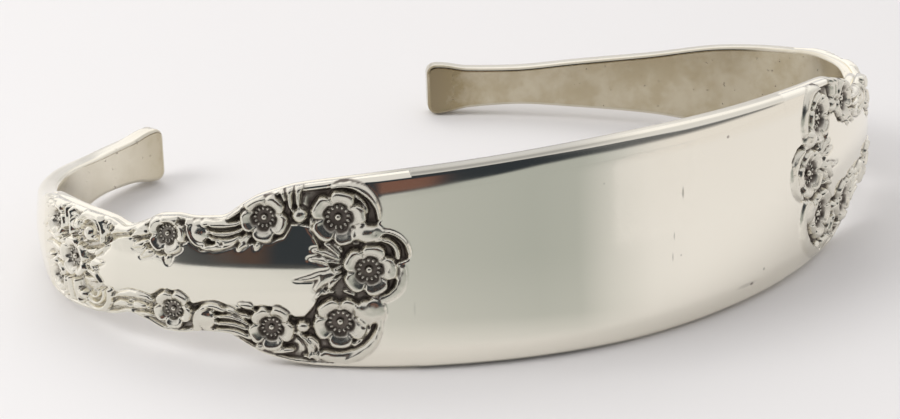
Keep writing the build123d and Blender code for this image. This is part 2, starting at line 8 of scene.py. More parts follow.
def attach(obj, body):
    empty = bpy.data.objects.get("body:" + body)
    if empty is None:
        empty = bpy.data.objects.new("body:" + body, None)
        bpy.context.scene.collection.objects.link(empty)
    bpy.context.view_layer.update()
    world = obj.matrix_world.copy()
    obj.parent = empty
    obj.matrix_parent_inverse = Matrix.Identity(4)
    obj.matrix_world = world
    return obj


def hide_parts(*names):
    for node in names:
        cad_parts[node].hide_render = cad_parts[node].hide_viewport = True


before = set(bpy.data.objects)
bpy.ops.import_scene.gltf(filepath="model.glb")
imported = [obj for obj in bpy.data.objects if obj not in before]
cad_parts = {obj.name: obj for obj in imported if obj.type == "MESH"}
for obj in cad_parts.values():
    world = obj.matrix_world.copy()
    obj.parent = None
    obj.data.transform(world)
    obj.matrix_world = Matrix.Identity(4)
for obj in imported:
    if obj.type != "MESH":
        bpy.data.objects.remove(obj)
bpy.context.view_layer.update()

# A cuff bracelet bent from one silver spoon handle, dressed over its CAD solid. Sizes are in
# millimetres and turn into metres when a mesh is made. Along is the length on the outer face
# from the middle of the front, minus to the left. Across runs up that face from its middle
# line. Height is measured out from the smooth crown of the face, and depth in from it.
MILLIMETRE = 0.001

# Bends of the outer face, from the middle of the front to each tip
FRONT_RADIUS = 42.6
LEFT_FRONT_LENGTH = 31.9
LEFT_BEND_RADIUS = 14.7
LEFT_BEND_LENGTH = 17.7
LEFT_TAIL_RADIUS = 20.4
LEFT_TAIL_LENGTH = 20.0
RIGHT_FRONT_LENGTH = 32.5
RIGHT_BEND_RADIUS = 11.4
RIGHT_BEND_LENGTH = 18.1
RIGHT_TAIL_RADIUS = 70.0
RIGHT_TAIL_LENGTH = 26.3
BEND_EASING = 1.35
CURVE_STEPS = 1500

# How the cuff lies: its lean, the way the lean's axis points, and where the front's middle is
LEAN = 7.706
LEAN_AXIS_TURN = 183.03
FRONT_MIDDLE = (0.347, -20.900, 7.641)

# Widths and thickness of the handle
PANEL_HALF_WIDTH = 7.5
SHOULDER_HALF_WIDTH = 4.12
WAIST_HALF_WIDTH = 3.1
CLUSTER_HALF_WIDTH = 3.72
TAIL_HALF_WIDTH = 1.53
TIP_HALF_WIDTH = 2.07
TIP_CORNER_RADIUS = 0.75
THICKNESS = 1.7
OUTER_ROUNDING = 0.34
INNER_ROUNDING = 0.26

# How far the panel and the cast border reach along the handle
PANEL_HALF_LENGTH = 15.1
BORDER_LENGTH = 30.8
BORDER_END = PANEL_HALF_LENGTH + BORDER_LENGTH

# Crown of the outer face
PANEL_EDGE_DROP = 0.35
PANEL_EDGE_REACH = 1.8
FIELD_SLOPE = 0.125
FIELD_EASING = 1.15
FIELD_REACH = 3.9
CROWN_CHANGE_START = 17.8
CROWN_CHANGE = 3.6

# Relief of the cast border
RELIEF_PROUD = 0.315
GROUND_RECESS = 0.40
GROUND_EASING = 0.25
GROUND_FADE = 1.8
RIM_EASING = 0.2
RELIEF_START = 15.6
RELIEF_END = 46.3

# Outline: place along the stretch as a share of its length, and half width there
PANEL_EDGE = (
    (0.0, PANEL_HALF_WIDTH),
    (1.0, 0.94 * PANEL_HALF_WIDTH),
)
BORDER_EDGE = (
    (0.180, 0.892 * PANEL_HALF_WIDTH),
    (0.281, 0.850 * PANEL_HALF_WIDTH),
    (0.331, 0.795 * PANEL_HALF_WIDTH),
    (0.369, 0.745 * PANEL_HALF_WIDTH),
    (0.403, 0.667 * PANEL_HALF_WIDTH),
    (0.453, 1.00 * SHOULDER_HALF_WIDTH),
    (0.515, 0.98 * SHOULDER_HALF_WIDTH),
    (0.555, 1.02 * SHOULDER_HALF_WIDTH),
    (0.597, 1.00 * SHOULDER_HALF_WIDTH),
    (0.640, 0.86 * SHOULDER_HALF_WIDTH),
    (0.688, 1.00 * WAIST_HALF_WIDTH),
    (0.734, 1.12 * WAIST_HALF_WIDTH),
    (0.790, 0.98 * CLUSTER_HALF_WIDTH),
    (0.906, 1.00 * CLUSTER_HALF_WIDTH),
    (0.953, 0.98 * CLUSTER_HALF_WIDTH),
    (1.000, 0.94 * CLUSTER_HALF_WIDTH),
)
LEFT_TAIL_EDGE = (
    (0.07, 1.95 * TAIL_HALF_WIDTH),
    (0.24, 1.60 * TAIL_HALF_WIDTH),
    (0.49, 1.25 * TAIL_HALF_WIDTH),
    (0.70, 1.00 * TAIL_HALF_WIDTH),
    (0.86, 1.08 * TAIL_HALF_WIDTH),
    (0.95, 0.98 * TIP_HALF_WIDTH),
    (1.00, 1.00 * TIP_HALF_WIDTH),
)
RIGHT_TAIL_EDGE = (
    (0.21, 2.12 * TAIL_HALF_WIDTH),
    (0.41, 1.59 * TAIL_HALF_WIDTH),
    (0.60, 1.25 * TAIL_HALF_WIDTH),
    (0.77, 1.00 * TAIL_HALF_WIDTH),
    (0.89, 1.08 * TAIL_HALF_WIDTH),
    (0.96, 0.98 * TIP_HALF_WIDTH),
    (1.00, 1.00 * TIP_HALF_WIDTH),
)

# The charts of the ornament below are in millimetres, for the right half; the left half
# mirrors them. Angles are in degrees, from the way to the tail and turning up the face.

# Edge of the sunk ground against the panel: across, along
FAN_LINE = (
    (-6.4, 21.5), (-5.4, 19.9), (-4.6, 18.9), (-3.6, 18.4), (-3.0, 18.3), (-2.6, 19.2),
    (-1.9, 19.3), (-1.5, 18.9), (-1.3, 17.8), (-0.9, 17.3), (-0.4, 17.2), (0.2, 17.9), (0.7, 17.5),
    (1.0, 16.35), (2.0, 16.5), (2.7, 17.2), (3.0, 18.6), (3.5, 18.5), (4.0, 18.1), (5.0, 18.3),
    (5.7, 18.9), (6.3, 19.9),
)

# Plain field down the middle of the border: along, lowest and highest place across
PLAIN_FIELD = (
    (21.2, 0.1, 0.1),
    (21.7, -0.6, 1.0),
    (22.2, -0.9, 1.9),
    (22.8, -2.1, 3.6),
    (23.5, -2.9, 3.8),
    (24.2, -2.9, 3.8),
    (24.7, -2.6, 2.9),
    (25.8, -2.1, 2.6),
    (27.0, -2.1, 2.5),
    (28.2, -2.3, 2.4),
    (29.2, -1.9, 2.1),
    (30.4, -1.8, 2.0),
    (31.3, -2.0, 2.7),
    (31.7, -1.6, 2.6),
    (32.3, -1.1, 1.7),
    (33.4, -1.0, 1.5),
    (34.3, -1.6, 2.0),
    (35.6, -1.6, 2.6),
    (36.6, -1.7, 2.4),
    (37.6, -1.8, 1.9),
    (38.5, -1.2, 1.2),
    (39.3, 0.1, 0.1),
)

# Smooth rim that stays along the outline of the border: along, width
RIM = (
    (18.0, 0.70), (20.0, 0.50), (23.5, 0.45), (24.6, 0.30), (46.0, 0.28),
)

# Blossoms: along, across, radius, turn of the first petal
BLOSSOMS = (
    (20.92, 4.12, 1.98, 33),
    (21.10, -3.32, 1.94, 55),
    (18.98, 0.42, 1.90, 34),
    (25.95, 4.25, 1.72, 60),
    (25.85, -3.62, 1.68, 52),
    (32.82, 2.98, 1.44, 30),
    (32.70, -2.40, 1.46, 54),
    (41.08, 0.20, 1.52, 10),
    (43.30, 2.35, 1.30, 30),
    (43.44, -1.70, 1.30, 66),
)

# Curls of the left border, the right one and both: along, across, radius, start, sweep, share
# that the radius loses, half width at the start, the middle and the end, height
LEFT_CURLS = (
    (20.42, 4.20, 2.22, 68, 116, 0.00, 0.08, 0.34, 0.12, 1.10),
    (20.55, 4.25, 1.66, 88, 86, 0.00, 0.06, 0.16, 0.10, 0.80),
    (18.05, 1.30, 1.82, 80, 98, 0.00, 0.10, 0.11, 0.12, 0.90),
    (18.15, 1.40, 1.14, 66, 122, 0.00, 0.22, 0.24, 0.26, 0.90),
    (21.20, -3.05, 2.80, 184, 108, 0.00, 0.20, 0.50, 0.40, 0.75),
    (18.62, 0.20, 1.98, 172, 84, 0.00, 0.16, 0.42, 0.26, 0.42),
    (21.15, -3.10, 2.06, 188, 56, 0.00, 0.26, 0.23, 0.20, 0.85),
)
RIGHT_CURLS = (
    (20.30, 4.20, 2.15, 70, 118, 0.00, 0.20, 0.60, 0.56, 0.90),
    (18.45, 0.60, 1.78, 62, 184, 0.00, 0.20, 0.58, 0.34, 0.85),
    (20.60, -3.20, 2.68, 150, 132, 0.00, 0.36, 0.66, 0.40, 0.75),
)
BOTH_CURLS = (
    (29.85, 3.66, 1.44, 244, 118, 0.02, 0.25, 0.26, 0.30, 1.05),
    (29.90, -3.24, 1.26, 128, -150, 0.02, 0.24, 0.27, 0.32, 1.05),
    (39.30, 2.35, 1.36, 200, -190, 0.16, 0.26, 0.25, 0.24, 0.95),
    (39.30, 2.40, 0.90, 175, -150, 0.10, 0.14, 0.14, 0.14, 0.80),
    (39.20, -1.75, 1.50, 178, 130, 0.00, 0.28, 0.26, 0.24, 0.95),
    (39.25, -1.80, 1.02, 172, 140, 0.00, 0.18, 0.18, 0.18, 0.90),
    (39.30, -1.80, 0.58, 176, 140, 0.00, 0.16, 0.15, 0.14, 0.80),
)

# Knobs: along, across, radius along, radius across, height
KNOBS = (
    (17.95, 0.72, 0.40, 0.62, 0.80),
    (23.50, 4.38, 0.62, 0.60, 1.10),
    (23.66, -3.55, 0.62, 0.50, 1.10),
    (30.55, 3.14, 0.86, 0.86, 0.98),
    (30.45, -2.98, 0.90, 0.86, 0.98),
    (39.45, 2.25, 0.56, 0.56, 0.95),
    (34.48, -2.40, 0.22, 0.22, 0.90),
    (40.62, 2.60, 0.50, 0.42, 0.95),
    (40.55, -2.50, 0.50, 0.42, 0.95),
    (42.35, 1.05, 0.44, 0.38, 0.90),
    (42.10, -0.95, 0.44, 0.36, 0.90),
    (19.50, 4.62, 0.30, 0.62, 0.85),
)

# Soft mounds that fill the ground under other forms
SWELLS = (
    (28.95, 3.35, 2.40, 1.30, 0.62),
    (28.85, -3.20, 2.40, 1.40, 0.62),
    (23.75, 5.25, 1.20, 1.60, 0.50),
    (23.40, -4.75, 1.40, 1.60, 0.45),
    (35.60, -2.40, 2.60, 1.20, 0.60),
    (36.00, 2.70, 2.40, 1.30, 0.50),
)

# Knobs over the edges of blossoms
BOSSES = (
    (18.95, 3.02, 1.12, 0.76, 1.30),
    (19.02, -2.60, 1.12, 1.00, 1.05),
)

# Leaves and reeds: along and across of both ends, bow as a share of the length,
# half width at the start, the middle and the end, height
LEAVES = (
    (23.46, 6.35, 23.52, 4.95, 0.05, 0.28, 0.28, 0.12, 1.00),
    (24.08, 6.25, 24.02, 4.75, 0.05, 0.26, 0.26, 0.12, 1.00),
    (24.32, -3.90, 23.30, -5.75, -0.22, 0.16, 0.28, 0.18, 1.05),
    (23.82, -4.25, 23.00, -5.60, -0.22, 0.12, 0.24, 0.12, 0.95),
    (23.25, -4.30, 22.70, -5.45, -0.20, 0.12, 0.20, 0.10, 0.85),
    (21.90, -5.82, 23.70, -5.72, 0.02, 0.40, 0.34, 0.10, 0.75),
    (24.45, -5.20, 26.80, -4.90, -0.06, 0.24, 0.34, 0.24, 0.90),
    (27.20, 3.05, 29.50, 2.22, -0.05, 0.16, 0.26, 0.30, 1.00),
    (27.30, 3.96, 30.10, 3.80, -0.05, 0.22, 0.28, 0.24, 0.95),
    (27.50, 3.44, 29.80, 3.26, -0.10, 0.18, 0.25, 0.20, 0.95),
    (27.75, 2.94, 29.70, 2.84, -0.12, 0.16, 0.22, 0.16, 0.95),
    (27.70, -2.86, 29.90, -2.36, 0.14, 0.18, 0.25, 0.18, 0.95),
    (27.45, -3.36, 29.70, -2.84, 0.14, 0.18, 0.25, 0.18, 0.95),
    (27.30, -3.88, 29.60, -3.30, 0.10, 0.20, 0.26, 0.18, 0.95),
    (27.20, -4.42, 29.60, -3.78, 0.08, 0.22, 0.28, 0.20, 0.95),
    (26.95, 2.95, 27.75, 2.10, 0.06, 0.16, 0.32, 0.12, 0.70),
    (26.40, 2.75, 26.55, 2.10, 0.00, 0.12, 0.20, 0.06, 0.60),
    (26.85, -2.40, 27.90, -1.85, 0.08, 0.14, 0.30, 0.10, 0.70),
    (27.10, -3.05, 28.15, -2.55, 0.08, 0.14, 0.24, 0.12, 0.75),
    (20.85, 0.95, 23.00, 1.35, 0.05, 0.10, 0.26, 0.03, 0.60),
    (20.85, 0.72, 24.05, -0.10, -0.05, 0.10, 0.24, 0.02, 0.55),
    (20.85, 0.35, 22.65, -0.80, 0.12, 0.10, 0.38, 0.12, 0.65),
    (20.85, 1.20, 22.75, 2.00, 0.05, 0.10, 0.30, 0.03, 0.65),
    (20.90, 1.50, 22.45, 2.75, 0.06, 0.10, 0.32, 0.04, 0.65),
    (20.75, 1.75, 21.60, 2.85, 0.06, 0.10, 0.24, 0.06, 0.60),
    (20.85, 0.05, 21.95, -1.25, 0.10, 0.10, 0.26, 0.05, 0.70),
    (19.55, 2.30, 20.25, 2.50, 0.00, 0.14, 0.26, 0.12, 0.50),
    (20.05, -1.35, 20.75, -1.05, 0.10, 0.12, 0.24, 0.10, 0.55),
    (22.15, 3.10, 22.70, 4.05, -0.10, 0.20, 0.34, 0.24, 0.70),
    (22.60, -2.20, 22.95, -3.40, -0.10, 0.10, 0.20, 0.12, 0.70),
    (24.50, 5.40, 24.60, 6.00, 0.00, 0.12, 0.20, 0.14, 0.80),
    (27.60, 4.70, 28.40, 4.20, 0.06, 0.12, 0.22, 0.14, 0.80),
    (31.60, -1.80, 31.55, -3.20, 0.06, 0.14, 0.22, 0.14, 0.80),
    (31.55, 2.60, 31.60, 3.60, 0.06, 0.12, 0.18, 0.12, 0.70),
    (33.90, -3.10, 35.60, -2.95, 0.04, 0.12, 0.20, 0.12, 0.70),
    (37.55, 3.10, 38.00, 2.20, -0.10, 0.16, 0.30, 0.14, 0.80),
    (38.60, 1.90, 39.90, 1.55, 0.10, 0.16, 0.28, 0.14, 0.70),
    (38.80, -0.95, 40.00, -1.05, -0.10, 0.16, 0.28, 0.14, 0.70),
    (40.30, 1.95, 41.10, 3.20, 0.06, 0.18, 0.28, 0.16, 0.80),
    (21.45, -1.10, 22.70, -1.45, 0.14, 0.10, 0.26, 0.06, 0.55),
    (33.95, 3.05, 35.45, 2.65, 0.10, 0.26, 0.42, 0.14, 0.80),
    (34.10, 2.40, 35.30, 1.90, 0.06, 0.16, 0.28, 0.10, 0.65),
    (33.55, 1.90, 34.70, 1.25, 0.06, 0.16, 0.28, 0.10, 0.55),
    (32.60, 1.75, 32.75, 1.00, 0.06, 0.12, 0.20, 0.06, 0.55),
    (35.75, 2.90, 37.25, 2.55, 0.12, 0.18, 0.34, 0.14, 0.75),
    (31.05, 3.95, 32.50, 4.30, 0.10, 0.12, 0.20, 0.14, 0.85),
    (34.15, -1.85, 37.45, -2.05, 0.10, 0.20, 0.34, 0.16, 0.75),
    (34.70, -2.45, 36.10, -2.60, 0.08, 0.18, 0.34, 0.18, 0.70),
    (36.05, -2.45, 37.50, -2.65, 0.10, 0.18, 0.36, 0.18, 0.75),
    (39.75, 0.35, 38.00, 0.40, 0.08, 0.16, 0.28, 0.08, 0.60),
    (39.70, 0.95, 37.60, 1.65, 0.10, 0.18, 0.32, 0.10, 0.70),
    (39.85, -0.45, 38.35, -1.20, -0.10, 0.18, 0.30, 0.10, 0.70),
    (39.80, 0.00, 38.60, -0.30, -0.06, 0.14, 0.24, 0.08, 0.60),
    (41.10, -1.60, 41.00, -3.05, 0.06, 0.28, 0.40, 0.28, 0.95),
    (41.95, -1.60, 41.85, -3.05, 0.06, 0.26, 0.36, 0.24, 0.95),
    (42.60, -2.70, 43.30, -3.20, 0.06, 0.16, 0.28, 0.14, 0.85),
    (41.25, 1.80, 41.50, 3.35, 0.08, 0.26, 0.36, 0.24, 0.95),
    (42.00, 2.20, 42.00, 3.50, 0.06, 0.18, 0.28, 0.18, 0.90),
    (42.40, 3.55, 44.20, 3.60, 0.04, 0.18, 0.24, 0.14, 0.85),
    (42.60, 0.25, 45.10, 0.30, 0.04, 0.18, 0.32, 0.10, 0.75),
    (42.55, 0.80, 44.90, 1.05, 0.05, 0.16, 0.28, 0.10, 0.75),
    (44.40, -0.55, 45.35, -1.00, 0.06, 0.18, 0.30, 0.10, 0.75),
    (44.50, 2.20, 45.60, 1.40, 0.06, 0.18, 0.30, 0.10, 0.75),
    (44.30, 3.10, 45.40, 2.90, 0.06, 0.16, 0.28, 0.10, 0.75),
    (44.40, -2.50, 45.30, -2.55, 0.06, 0.16, 0.28, 0.10, 0.75),
    (42.10, -0.45, 43.70, -0.35, 0.06, 0.16, 0.26, 0.10, 0.70),
)

# Shape of a blossom, as shares of its reach and of its height
PETALS = 5
PETAL_NOTCH = 0.17
NOTCH_POWER = 9
PETAL_START = 0.53
PETAL_FLOOR = 0.70
PETAL_CREST = 0.82
PETAL_FALL = 0.8
PETAL_POWER = 2.5
PETAL_ROUND = 0.16
PETAL_CREASE = 0.42
CREASE_ASIDE = (0.86, 1.0)
CREASE_REACH = (0.54, 0.66)
LIP_INNER = 0.06
LIP_OUTER = 0.01
BLOSSOM_WINDOW = 1.1
RING_FLOOR = 0.22
BEADS = 13
BEAD_RING = 0.365
BEAD_RADIUS = 0.052
BEAD_LENGTH = 1.6
BEAD_SOOT = 0.22
BEAD_SHINE = (-0.2, 0.6)
MIDDLE_RADIUS = 0.14
MIDDLE_SOOT = 0.05
RING_SOOT = 0.84
RING_INNER = 0.02
RING_OUTER = 0.05
THROAT_SOOT = 0.30

# Profile of a bar, softening of the whole relief, and how the recesses blacken
BAR_POWER = 2.4
MOAT_WIDTH = 0.12
MOAT_DEPTH = 0.15
FIELD_MOAT = 0.45
RELIEF_BLUR = 0.045
CASTING_GRAIN = 0.16
CASTING_DEPTH = 0.010
CREVICE_BLUR = 0.18
CREVICE_START = 0.012
CREVICE_END = 0.105
HOLLOW_BLUR = 0.45
HOLLOW_START = 0.00
HOLLOW_END = 0.30
HOLLOW_SOOT = 0.48
DEEP_START = 0.14
DEEP_END = 0.36
DEEP_SOOT = 0.68

# Small marks on the plain front: along, across, half length, half height, strength
MARKS = (
    (4.52, 2.60, 0.11, 0.60, 0.65),
    (8.90, 5.70, 0.19, 0.16, 0.70),
    (3.70, -0.40, 0.09, 0.40, 0.40),
    (3.55, -1.92, 0.09, 0.46, 0.40),
    (4.30, -1.95, 0.12, 0.12, 0.40),
    (12.80, -5.15, 0.18, 0.16, 0.55),
    (11.40, -5.90, 0.30, 0.16, 0.80),
    (10.90, -5.85, 1.60, 0.22, 0.25),
    (-2.10, 4.55, 0.10, 0.10, 0.28),
    (-16.00, -2.55, 0.10, 0.70, 0.12),
)
MARK_DEPTH = 0.8

# Share of the blackening that is left on the right border
RIGHT_WEAR = 0.92

# How much blackening and cast dullness is left on the relief: along, share
WEAR = (
    (15.0, 1.00), (26.5, 0.95), (28.5, 0.68), (32.0, 0.68), (34.5, 0.44), (37.0, 0.38),
    (46.0, 0.34),
)

# Grid of the relief, and the sheets that are made from it
GRID_STEP = 0.05
GRID_MARGIN = 0.5
GRID_ACROSS = 7.6
CURL_STEPS = 80
LEAF_STEPS = 60
RELIEF_COLUMN = 0.08
RELIEF_ROWS = 150
RELIEF_LIFT = 0.001
RELIEF_FOOT = 0.9
FOOT_INSET = 0.3

# Beads: heights over the ring's floor, corners of a ring, and lowest and highest tilt
BEAD_RISE = 0.05
MIDDLE_RISE = 0.06
BEAD_POINTS = 10
MIDDLE_POINTS = 18
BEAD_TILTS = (-60.0, 84.0)

# Band under the relief, its columns, rows and rounded edges, and how far these count as inside
BAND_SINK = 0.55
BAND_SINK_LENGTH = 0.7
SINK_MARGIN = 0.2
SINK_COLUMNS = 8
CORNER_COLUMNS = 7
PANEL_COLUMN = 0.75
TAIL_COLUMN = 0.6
ROWS = 48
SLOPE_STEP = 0.02
GREATEST_SLOPE = 0.45
ROUNDING_STEPS = 5
WALL_LOOPS = (0.33, 0.66, 1.0)
ROUNDING_INSIDE = 0.2
WALL_INSIDE = 0.3
INNER_EDGE_INSIDE = 0.6


def smooth_step(value, start, end):
    """0 before the start, 1 past the end, and a smooth rise between them."""
    share = np.clip((value - start) / (end - start), 0.0, 1.0)
    return share * share * (3.0 - 2.0 * share)


def running_total(values, places):
    """Integral of the values up to each place."""
    steps = 0.5 * (values[1:] + values[:-1]) * np.diff(places)
    return np.concatenate([[0.0], np.cumsum(steps)])


def lay_curve(front, bend_radius, bend, tail_radius, tail):
    """Length, place and heading along one half of the outer face."""
    length = np.linspace(0.0, front + bend + tail, CURVE_STEPS)
    into_bend = 0.5 + 0.5 * np.tanh((length - front) / BEND_EASING)
    into_tail = 0.5 + 0.5 * np.tanh((length - front - bend) / BEND_EASING)
    curvature = 1.0 / FRONT_RADIUS
    curvature = curvature + (1.0 / bend_radius - 1.0 / FRONT_RADIUS) * into_bend
    curvature = curvature + (1.0 / tail_radius - 1.0 / bend_radius) * into_tail
    heading = running_total(curvature, length)
    x = running_total(np.cos(heading), length)
    y = running_total(np.sin(heading), length)
    return length, x, y, heading


LEFT_CURVE = lay_curve(
    LEFT_FRONT_LENGTH, LEFT_BEND_RADIUS, LEFT_BEND_LENGTH, LEFT_TAIL_RADIUS, LEFT_TAIL_LENGTH
)
RIGHT_CURVE = lay_curve(
    RIGHT_FRONT_LENGTH, RIGHT_BEND_RADIUS, RIGHT_BEND_LENGTH, RIGHT_TAIL_RADIUS, RIGHT_TAIL_LENGTH
)
LEFT_LENGTH = LEFT_CURVE[0][-1]
RIGHT_LENGTH = RIGHT_CURVE[0][-1]


def shape_preserving_slopes(x, y):
    """Slopes of the curve through the points that never overshoots them."""
    steps = np.diff(x)
    slopes = np.diff(y) / steps
    inner = np.zeros(len(x))
    for i in range(1, len(x) - 1):
        if slopes[i - 1] * slopes[i] > 0.0:
            before = 2.0 * steps[i] + steps[i - 1]
            after = steps[i] + 2.0 * steps[i - 1]
            inner[i] = (before + after) / (before / slopes[i - 1] + after / slopes[i])
    for end, near, far in ((0, 0, 1), (-1, -1, -2)):
        slope = (2.0 * steps[near] + steps[far]) * slopes[near] - steps[near] * slopes[far]
        slope = slope / (steps[near] + steps[far])
        if slope * slopes[near] <= 0.0:
            slope = 0.0
        elif slopes[near] * slopes[far] <= 0.0 and abs(slope) > 3.0 * abs(slopes[near]):
            slope = 3.0 * slopes[near]
        inner[end] = slope
    return inner


class Outline:
    """Half width against the length from the middle of the front, for one half."""

    def __init__(self, half_length, tail_edge):
        tail = half_length - BORDER_END
        rows = [(share * PANEL_HALF_LENGTH, width) for share, width in PANEL_EDGE]
        rows += [(PANEL_HALF_LENGTH + share * BORDER_LENGTH, width) for share, width in BORDER_EDGE]
        rows += [(BORDER_END + share * tail, width) for share, width in tail_edge]
        self.x, self.y = np.transpose(rows)
        self.slopes = shape_preserving_slopes(self.x, self.y)

    def __call__(self, length):
        length = np.clip(length, self.x[0], self.x[-1])
        i = np.clip(np.searchsorted(self.x, length, side="right") - 1, 0, len(self.x) - 2)
        step = self.x[i + 1] - self.x[i]
        t = (length - self.x[i]) / step
        start = (1.0 + 2.0 * t) * (1.0 - t) ** 2 * self.y[i] + t * (1.0 - t) ** 2 * step * self.slopes[i]
        end = t * t * (3.0 - 2.0 * t) * self.y[i + 1] + t * t * (t - 1.0) * step * self.slopes[i + 1]
        return start + end


LEFT_OUTLINE = Outline(LEFT_LENGTH, LEFT_TAIL_EDGE)
RIGHT_OUTLINE = Outline(RIGHT_LENGTH, RIGHT_TAIL_EDGE)


def half_width(along):
    """Half width of the handle at each place along it."""
    length = np.abs(along)
    return np.where(along < 0.0, LEFT_OUTLINE(length), RIGHT_OUTLINE(length))


def lie_down(points):
    """Points of the flat-standing cuff as it lies, in metres."""
    turn = math.radians(LEAN_AXIS_TURN)
    axis = Vector((math.cos(turn), math.sin(turn), 0.0))
    lean = np.array(Matrix.Rotation(math.radians(LEAN), 3, axis))
    return (points @ lean.T + FRONT_MIDDLE) * MILLIMETRE


def place(along, across, depth):
    """Points in the row frame, in metres, of places along, across and into the handle."""
    along, across, depth = np.broadcast_arrays(along, across, depth)
    points = np.empty((along.size, 3))
    along, across, depth = along.ravel(), across.ravel(), depth.ravel()
    points[:, 2] = across
    for sign, curve in ((-1.0, LEFT_CURVE), (1.0, RIGHT_CURVE)):
        part = along < 0.0 if sign < 0.0 else along >= 0.0
        length, x, y, heading = curve
        here = np.abs(along[part])
        turn = np.interp(here, length, heading)
        points[part, 0] = sign * (np.interp(here, length, x) - np.sin(turn) * depth[part])
        points[part, 1] = np.interp(here, length, y) + np.cos(turn) * depth[part]
    return lie_down(points)


def crown_drop(along, across):
    """How far the outer face falls below its middle line."""
    past = np.abs(across) - (half_width(along) - PANEL_EDGE_REACH)
    panel = PANEL_EDGE_DROP * (np.maximum(past, 0.0) / PANEL_EDGE_REACH) ** 2
    reach = np.minimum(np.abs(across), FIELD_REACH)
    eased = np.minimum(reach, FIELD_EASING)
    field = FIELD_SLOPE * (0.5 * eased**2 / FIELD_EASING + reach - eased)
    change = smooth_step(np.abs(along), CROWN_CHANGE_START, CROWN_CHANGE_START + CROWN_CHANGE)
    return panel + (field - panel) * change


def ground_share(along, across):
    """1 on the sunk ground of the border, 0 on the plain faces and the rim."""
    length = np.abs(along)
    fan = np.interp(across, *np.transpose(FAN_LINE))
    ground = smooth_step(length, fan - 0.5 * GROUND_EASING, fan + 0.5 * GROUND_EASING)
    ground = ground * (1.0 - smooth_step(length, BORDER_END - GROUND_FADE, BORDER_END))
    along_field, field_low, field_high = np.transpose(PLAIN_FIELD)
    middle = 0.5 * np.interp(length, along_field, field_low + field_high)
    reach = 0.5 * np.interp(length, along_field, field_high - field_low)
    outside = (length < along_field[0]) | (length > along_field[-1])
    past_field = np.where(outside, GROUND_EASING, np.abs(across - middle) - reach)
    ground = ground * smooth_step(past_field, -0.5 * GROUND_EASING, 0.5 * GROUND_EASING)
    inside_rim = half_width(along) - np.interp(length, *np.transpose(RIM)) - np.abs(across)
    return ground * smooth_step(inside_rim, -0.5 * RIM_EASING, 0.5 * RIM_EASING)


def blur(values, width):
    """The values of the relief's grid, averaged softly over a width."""
    reach = int(math.ceil(3.0 * width / GRID_STEP))
    weights = np.exp(-0.5 * (np.arange(-reach, reach + 1) * GRID_STEP / width) ** 2)
    weights = weights / weights.sum()
    for axis in (0, 1):
        edges = [(reach, reach) if k == axis else (0, 0) for k in (0, 1)]
        padded = np.pad(values, edges, mode="edge")
        windows = np.lib.stride_tricks.sliding_window_view(padded, 2 * reach + 1, axis=axis)
        values = windows @ weights
    return values


